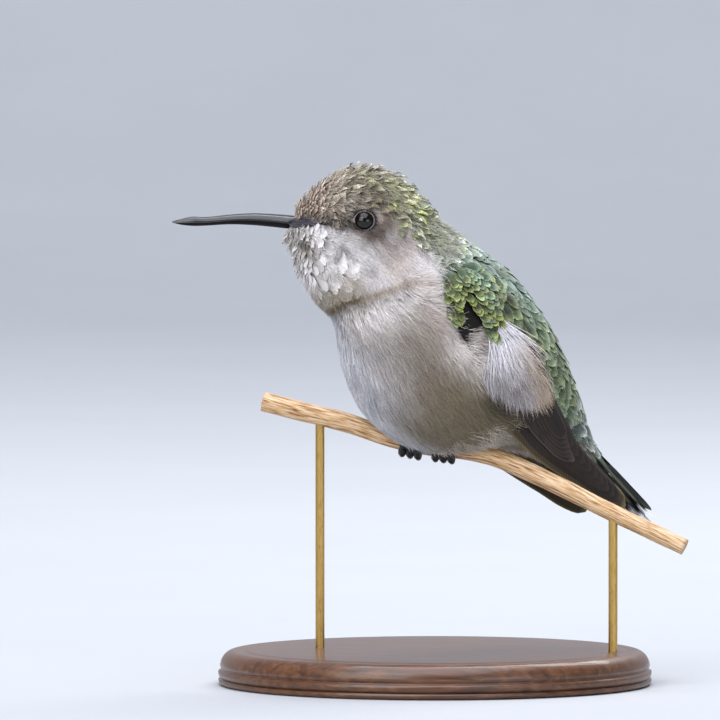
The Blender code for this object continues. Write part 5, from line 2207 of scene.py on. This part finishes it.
@dataclass
class Bill:
    """The long slender bill, its two halves a hair apart."""

    middle_y: float
    stations: list[tuple] = field(default_factory=lambda: [  # X, top Z, bottom Z, half width
        (-17.6, 66.9, 65.5, 1.0), (-20.7, 67.2, 65.35, 1.25), (-23.3, 67.4, 65.6, 1.1), (-26.1, 67.5, 65.85, 0.95),
        (-29.3, 67.3, 65.95, 0.8), (-32.7, 66.97, 65.77, 0.68), (-34.5, 67.03, 65.73, 0.66), (-36.2, 66.7, 65.9, 0.4),
        (-37.4, 66.4, 66.2, 0.12)])
    parting: float = 0.38  # height of the mouth's line as a share of the bill's
    gap: float = 0.05
    tip_length: float = 0.12  # mm beyond the last station
    steps: int = 72

    def half(self, upper: bool) -> Shape:
        """One half of the bill as a closed form.

        Args:
            upper: Whether it is the upper half.

        Returns:
            The half's form.
        """
        table = smooth_between(self.stations, np.linspace(0, len(self.stations) - 1, self.steps))
        x, top, bottom, width = (table[:, k, None] for k in range(4))
        line = bottom + self.parting * (top - bottom)
        turn = np.linspace(0, math.pi, 17)[None]
        if upper:
            across, rise = np.cos(turn), np.sin(turn) ** 0.9
            height = line + self.gap / 2 + np.maximum(top - line - self.gap / 2, 0.05) * rise
            ridge = 0.05 * hump(turn, math.pi / 2, 0.22) * width
            height = height + ridge
            across = across * (1 + 0.06 * hump(rise, 0, 0.25))
        else:
            across, rise = np.cos(turn[:, ::-1]), np.sin(turn)
            height = line - self.gap / 2 - np.maximum(line - bottom - self.gap / 2, 0.05) * rise
            across = across * 0.97
        rings = np.stack([x + 0 * turn, self.middle_y + width * across, height], -1)
        point = shrunk(rings[-1], CLOSED) - np.array([self.tip_length, 0, 0])
        rings = np.concatenate([[shrunk(rings[0], CLOSED)], rings, [point]])
        length = np.cumsum(np.concatenate([[0], np.linalg.norm(np.diff(rings.mean(1), axis=0), axis=1)]))
        fibre = np.stack(np.broadcast_arrays(length[:, None], width.mean() * turn, 0 * turn), -1)
        return Shape.of_rings(rings, fibre=fibre)

    def build(self, upper_finish: Material, lower_finish: Material) -> None:
        """Makes both halves.

        Args:
            upper_finish: Material of the upper half.
            lower_finish: Material of the lower half.
        """
        for name, upper, finish in (("bill_upper", True, upper_finish), ("bill_lower", False, lower_finish)):
            piece = self.half(upper).to_object(f"{name}_horn", finish)
            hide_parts(name)


@dataclass
class Eye:
    """An eyeball with its beaded lids and the ring of dark bead feathers round them."""

    side: str
    centre: Array
    out: Array
    radius: float = 1.52
    opening: float = 1.3
    lid_width: float = 0.14
    lid_bead: float = 0.27  # share of the width that only the beads have
    lid_rise: float = 0.04
    beads: int = 34
    plumes: int = 24
    plume_ring: float = 0.24  # mm outside the lids
    plume_width: float = 0.3
    plume_bead: float = 0.8
    plume_rise: float = 0.84

    def frame(self) -> tuple[Array, Array]:
        """Two directions across the line of sight."""
        first = unit(np.cross(self.out, [0, 0, 1.0]))
        return first, np.cross(first, self.out)

    def ball(self) -> Shape:
        """The eyeball, coloured as pupil, iris and dark rim from its front to its back.

        Returns:
            Its form.
        """
        first, second = self.frame()
        tilt = np.linspace(0.02, math.pi - 0.02, 40)[:, None]
        turn = circle(48)[None]
        ring = first * np.cos(turn)[..., None] + second * np.sin(turn)[..., None]
        points = self.centre + self.radius * (
            self.out * (np.cos(tilt) + 0 * turn)[..., None] + ring * np.sin(tilt)[..., None])
        away = np.sin(tilt) * self.radius + 0 * turn
        pupil = np.broadcast_to(linear("#050505"), points.shape)
        iris, rim = smooth_step(away, 0.72, 0.8), smooth_step(away, 1.15, 1.25)
        return Shape.of_rings(points, colours=layered(pupil, [("#120b08", iris), ("#060505", rim)]))

    def ring(self, away_from: float, width: float, beads: int, swell: float, raised: float) -> Shape:
        """A beaded ring round the opening, a little longer than high.

        Args:
            away_from: Radius of its middle line in millimetres.
            width: Its thickness at the beads.
            beads: How many beads it has.
            swell: Share of its thickness that only the beads have.
            raised: How far it lies above the eyeball.

        Returns:
            Its closed surface.
        """
        first, second = self.frame()
        columns, rows = beads * 4, 14
        turn = circle(columns)[None]
        round_it = circle(rows)[:, None]
        size = width / 2 * (1 - swell + swell * (0.5 + 0.5 * np.cos(turn * beads)))
        away = away_from * (1 + 0.035 * np.cos(2 * turn)) + size * np.cos(round_it)
        sunk = np.sqrt(max(self.radius**2 - away_from**2, 0.0))
        rise = sunk + raised + size * np.sin(round_it)
        ring = first * np.cos(turn)[..., None] + second * np.sin(turn)[..., None]
        points = self.centre + self.out * rise[..., None] + ring * away[..., None]
        points = points.transpose(1, 0, 2)
        quads = grid_quads(columns + 1, rows, True) % (columns * rows)
        return Shape(points.reshape(-1, 3), quads[:, ::-1])

    def build(self, cornea: Material, lid_finish: Material,
              dark_finish: Material) -> None:
        """Makes eyeball, lids and the dark bead feathers round them.

        Args:
            cornea: Material of the eyeball.
            lid_finish: Material of the lids.
            dark_finish: Material of the bead feathers.
        """
        ball = self.ball().to_object(f"eye_{self.side}_ball", cornea)
        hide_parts(f"eye_{self.side}")
        edge = self.opening + self.lid_width / 2
        lids = self.ring(edge, self.lid_width, self.beads, self.lid_bead, self.lid_rise)
        lids = lids.to_object(f"eye_{self.side}_lids", lid_finish)
        plumes = self.ring(edge + self.plume_ring, self.plume_width, self.plumes, self.plume_bead, self.plume_rise)
        plumes.to_object(f"eye_{self.side}_bead_feathers", dark_finish)


@dataclass
class Stem:
    """The cut length of vine, with drawn-out fibres."""

    pivot_x: float
    yaw: float = math.radians(12)
    stations: list[tuple] = field(default_factory=lambda: [  # X, Z, radius
        (-24.5, 40.2, 1.42), (-19.3, 38.9, 1.38), (-12.9, 37.4, 1.4), (-7.1, 35.5, 1.34), (-2.9, 34.4, 1.3),
        (2.1, 33.8, 1.3), (6.4, 33.2, 1.32), (10.0, 32.1, 1.34), (17.1, 28.9, 1.3), (24.4, 25.3, 1.22),
        (35.5, 20.1, 1.16)])
    steps: int = 240
    sides: int = 40

    def line(self, steps: int) -> tuple[Array, Array]:
        """Centre line and radius at that many steps.

        Args:
            steps: How many points are read.

        Returns:
            The points, steps x 3, and the radii.
        """
        table = smooth_between(self.stations, np.linspace(0, len(self.stations) - 1, steps))
        y = -(table[:, 0] - self.pivot_x) * math.tan(self.yaw)
        return np.stack([table[:, 0], y, table[:, 1]], -1), table[:, 2]

    def at(self, x: float) -> tuple[Array, Array, float]:
        """Centre, direction and radius where X is x.

        Args:
            x: The place along the stem, in millimetres.

        Returns:
            The three of them there.
        """
        line, radius = self.line(400)
        i = int(np.argmin(abs(line[:, 0] - x)))
        return line[i], unit(line[i + 1] - line[i - 1]), float(radius[i])

    def build(self, finish: Material) -> None:
        """Makes the stem.

        Args:
            finish: Its material.
        """
        line, radius = self.line(self.steps)
        rings, out = tube(line, radius, self.sides)
        turn = circle(self.sides)[None]
        along = np.linalg.norm(np.gradient(line, axis=0), axis=1).cumsum()[:, None]
        ribs = 0.03 * np.sin(5 * turn + 0.05 * along) + 0.018 * np.sin(11 * turn - 0.09 * along + 1)
        rings = rings + out * (ribs + 0.02 * np.sin(along * 0.9 + 2 * turn))[..., None]
        shares = (0.01, 0.5, 0.93)
        first, last = ([shrunk(ring, share) for share in shares] for ring in (rings[0], rings[-1]))
        rings = np.concatenate([first, rings, last[::-1]])
        lengths = np.concatenate([along[:1] - [[0.1], [0.06], [0.02]], along, along[-1:] + [[0.02], [0.06], [0.1]]])
        fibre = np.stack(np.broadcast_arrays(lengths, np.cos(turn) * 1.3, np.sin(turn) * 1.3), -1)
        piece = Shape.of_rings(rings, fibre=fibre).to_object("vine_stem", finish)
        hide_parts("perch_stem")


@dataclass
class Foot:
    """One foot: three toes forward and one behind, with scutes and curved claws, and its shank."""

    side: str
    stem: Stem
    x: float
    toe_radius: float = 0.53
    shank_radius: float = 0.5
    gap: float = 0.1
    toe_spread: float = 1.3  # mm between two front toes along the stem
    hind_spread: float = 0.3
    root: float = 84.0  # degrees round the stem, from its front over its top
    front_end: float = -112.0
    hind_end: float = 236.0
    knee: tuple[float, float, float] = (1.6, 1.2, 3.4)  # mm from the ankle
    sides: int = 14

    def toe(self, forward: Array, up: Array, along: Array, middle: Array, radius: float, sideways: float,
            end: float) -> Shape:
        """A toe that bends round the stem, thickened at each scute, with its claw.

        Args:
            forward: Direction to the front of the stem.
            up: Direction to its top.
            along: Direction along it.
            middle: Its centre.
            radius: Its radius.
            sideways: How far along the stem the toe reaches.
            end: Angle at which the toe ends, in degrees from the front.

        Returns:
            The toe.
        """
        steps = 46
        share = np.linspace(0, 1, steps)[:, None]
        turn = np.radians(self.root + (end - self.root) * share)
        away = radius + self.toe_radius + self.gap * (1 - share) - 0.1 * share
        away = away + 0.12 * np.sin(share * math.pi * 3) ** 2
        spread = sideways * (0.35 + 0.65 * np.sqrt(share))
        line = middle + away * (forward * np.cos(turn) + up * np.sin(turn)) + along * spread
        scutes = 0.84 + 0.2 * np.abs(np.sin(share[:, 0] * math.pi * 9))
        pads = 1 + 0.1 * np.cos(share[:, 0] * math.pi * 6)
        taper = np.interp(share[:, 0], [0, 0.7, 0.8, 0.84, 1], [1, 1.05, 0.95, 0.55, 0.05])
        return closed_tube(line, self.toe_radius * scutes * pads * taper, self.sides)

    def build(self, finish: Material) -> None:
        """Makes toes and shank.

        Args:
            finish: Their material.
        """
        middle, along, radius = self.stem.at(self.x)
        forward = unit(np.cross([0, 0, 1.0], along))
        forward = -forward if forward[1] > 0 else forward
        up = np.cross(along, forward)
        up = up if up[2] > 0 else -up
        reach = [(self.toe_spread * k, self.front_end) for k in (-1, 0, 1)] + [(self.hind_spread, self.hind_end)]
        toes = [self.toe(forward, up, along, middle, radius, *last) for last in reach]
        piece = joined(toes).to_object(f"foot_{self.side}_toes", finish)
        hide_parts(f"foot_{self.side}")
        _, highest = (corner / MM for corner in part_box(f"leg_{self.side}"))
        ankle = middle + up * (radius + self.toe_radius)
        knee = ankle + np.array(self.knee)
        knee[2] = min(knee[2], highest[2])
        share = np.linspace(0, 1, 30)[:, None]
        rings = 0.92 + 0.1 * np.abs(np.sin(share[:, 0] * math.pi * 7))
        shank = closed_tube(ankle + (knee - ankle) * share, self.shank_radius * rings, self.sides)
        piece = shank.to_object(f"leg_{self.side}_shank", finish)
        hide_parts(f"leg_{self.side}")


# ------------------------------------------------------------------ stand, studio and the whole


@dataclass
class Stand:
    """The display stand: a turned disc with a moulded edge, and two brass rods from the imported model."""

    nodes: dict
    sides: int = 192

    def disc(self) -> Shape:
        """The disc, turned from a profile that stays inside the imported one.

        Returns:
            Its form.
        """
        lowest, highest = (np.array(corner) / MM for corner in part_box("stand_base"))
        radius, top = (highest[0] - lowest[0]) / 2, highest[2]
        # from the middle of the underside out over foot, bead, groove and shoulder to the middle of the top
        profile = [(0.02, 0.0), (radius - 1.6, 0.0), (radius - 0.5, 0.05), (radius - 0.12, 0.3), (radius, 0.8)]
        profile += [(radius - 0.9 * (1 - math.sin(a)), 1.7 - 0.9 * math.cos(a)) for a in np.linspace(0.3, 1.5, 7)]
        profile += [(radius, 2.0), (radius - 0.35, 2.12), (radius - 0.5, 2.3), (radius - 0.38, 2.45)]
        profile += [(radius - 2.2 + 1.95 * math.cos(a), 2.6 + (top - 2.7) * math.sin(a))
                    for a in np.linspace(0.05, math.pi / 2, 14)]
        profile += [(radius - 3.2, top - 0.1), (radius - 3.6, top - 0.16), (radius - 4.0, top - 0.02)]
        profile += [(radius - 4.4, top), (radius * 0.6, top), (radius * 0.3, top), (0.02, top)]
        out, up = (np.array(column)[:, None] for column in zip(*profile))
        turn = circle(self.sides)[None]
        points = np.stack([out * np.cos(turn), out * np.sin(turn), up + 0 * turn], -1)
        return Shape.of_rings(points, flipped=True)

    def dress(self, wood: Material, brass: Material) -> None:
        """Makes the disc and gives the rods their finish.

        Args:
            wood: Material of the disc.
            brass: Material of the rods.
        """
        disc = self.disc().to_object("turned_base", wood)
        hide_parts("stand_base")
        for name in ("stand_rod_left", "stand_rod_right"):
            for holder in self.nodes[name].material_slots:
                holder.material = brass
            log.info("%s: dressed with %s", name, brass.name)


@dataclass
class Studio:
    """A pale round floor with a rim that curves up, soft lights, and the camera."""

    target: tuple[float, float, float] = (-10.714, 0.0, 46.43)
    tilt: float = math.radians(2.5)
    distance: float = 1500.0
    view_width: float = 102.857
    lamps: dict[str, tuple] = field(default_factory=lambda: {
        # place, side, watts, colour and, where it isn't the bird, what it points at
        "key_softbox": ((-460, -640, 420), 640, 4.6, "#fffaf4"),
        "fill_softbox": ((520, -700, 60), 500, 2.2, "#eef3ff"),
        "back_softbox": ((300, 420, 560), 350, 2.5, "#ffffff"),
        "overhead_softbox": ((-60, -330, 860), 1000, 10.5, "#eef2ff"),
        "wall_wash": ((0, 500, 1500), 900, 27.0, "#f4f7ff", (0, 1900, 350)),
    })

    def backdrop(self) -> None:
        """A round floor whose rim curves up into a wall, behind every camera."""
        finish = Grown("matt_pale_paper_sweep", ((0.0, "#adb0b4"), (1.0, "#b5b7ba")), 60.0, roughness=(0.85, 0.9),
                       bump=0.02).material()
        flat, bend = 1300.0, 700.0
        line = [(0.5, 0.0)] + [(r, 0.0) for r in (300.0, 800.0, flat)]
        line += [(flat + bend * math.sin(a), bend * (1 - math.cos(a))) for a in np.linspace(0.1, math.pi / 2, 14)]
        line.append((flat + bend, 2600.0))
        turn = circle(96)
        points = np.array([np.stack([r * np.cos(turn), r * np.sin(turn), z + 0 * turn], -1) for r, z in line])
        floor = Shape.of_rings(points, flipped=True).to_object("floor_sweep", finish)
        floor.parent = None

    def light(self, name: str, place: tuple, size: float, power: float, colour: str,
              aim: Optional[tuple] = None) -> None:
        """A square area light.

        Args:
            name: Its name.
            place: Where it hangs, in millimetres.
            size: Length of its side in millimetres.
            power: Watts.
            colour: sRGB hex colour.
            aim: Where it points; the bird unless given.
        """
        data = bpy.data.lights.new(name, "AREA")
        data.size = size * MM
        data.energy = power
        data.color = tuple(linear(colour))
        lamp = bpy.data.objects.new(name, data)
        bpy.context.scene.collection.objects.link(lamp)
        lamp.location = Vector(place) * MM
        lamp.rotation_euler = (Vector(aim or self.target) * MM - lamp.location).to_track_quat("-Z", "Y").to_euler()

    def camera(self) -> None:
        """The camera in front of the bird."""
        data = bpy.data.cameras.new("front_camera")
        data.sensor_width = 36.0
        data.lens = data.sensor_width * self.distance / self.view_width
        data.clip_start, data.clip_end = 0.05, 20.0
        camera = bpy.data.objects.new("front_camera", data)
        bpy.context.scene.collection.objects.link(camera)
        back = Vector((0.0, -math.cos(self.tilt), math.sin(self.tilt)))
        camera.location = (Vector(self.target) + back * self.distance) * MM
        camera.rotation_euler = back.to_track_quat("Z", "Y").to_euler()
        bpy.context.scene.camera = camera

    def build(self) -> None:
        """Makes floor, world, lights and camera."""
        self.backdrop()
        world = bpy.data.worlds.new("studio_air")
        world.use_nodes = True
        air = world.node_tree.nodes["Background"]
        air.inputs["Color"].default_value = (*linear("#dfe6ee"), 1)
        air.inputs["Strength"].default_value = 0.4
        bpy.context.scene.world = world
        bpy.context.scene.view_settings.view_transform = "Standard"
        for name, lamp in self.lamps.items():
            self.light(name, *lamp)
        self.camera()


def eyes_from_frame(body: Body) -> list[Eye]:
    """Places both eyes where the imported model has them.

    Args:
        body: The bird's body.

    Returns:
        The left and the right eye.
    """
    made = []
    for side, sign in (("left", -1), ("right", 1)):
        lowest, highest = (np.array(corner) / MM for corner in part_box(f"eye_{side}"))
        centre = (lowest + highest) / 2
        near = body.tree.find_nearest(Vector(centre))[1]
        out = unit(np.array(near) * sign * np.sign(near[1]) + np.array([0, 1.2 * sign, 0]))
        made.append(Eye(side, centre, out))
    return made


def main() -> None:
    """Builds the bird, dresses its stand and sets up the studio."""
    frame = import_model()
    body, marks = Body(), Markings()
    eyes = eyes_from_frame(body)
    centres = np.array([eye.centre for eye in eyes])
    finishes = Finishes()
    Coat(body, marks, centres).build(finishes)
    for side in ("left", "right"):
        Wing(body, side).build(finishes, centres)
    Tail(body).build(finishes.flight)
    Bill(body.head_y).build(finishes.horn, finishes.matt_horn)
    for eye in eyes:
        eye.build(finishes.cornea, finishes.lid, finishes.toes)
    stem = Stem(body.pivot_x)
    stem.build(finishes.bark)
    for side, x in (("left", 1.6), ("right", -3.1)):
        Foot(side, stem, x).build(finishes.toes)
    Stand(frame["nodes"]).dress(finishes.walnut, finishes.brass)
    Studio().build()


if __name__ == "__main__":
    main()
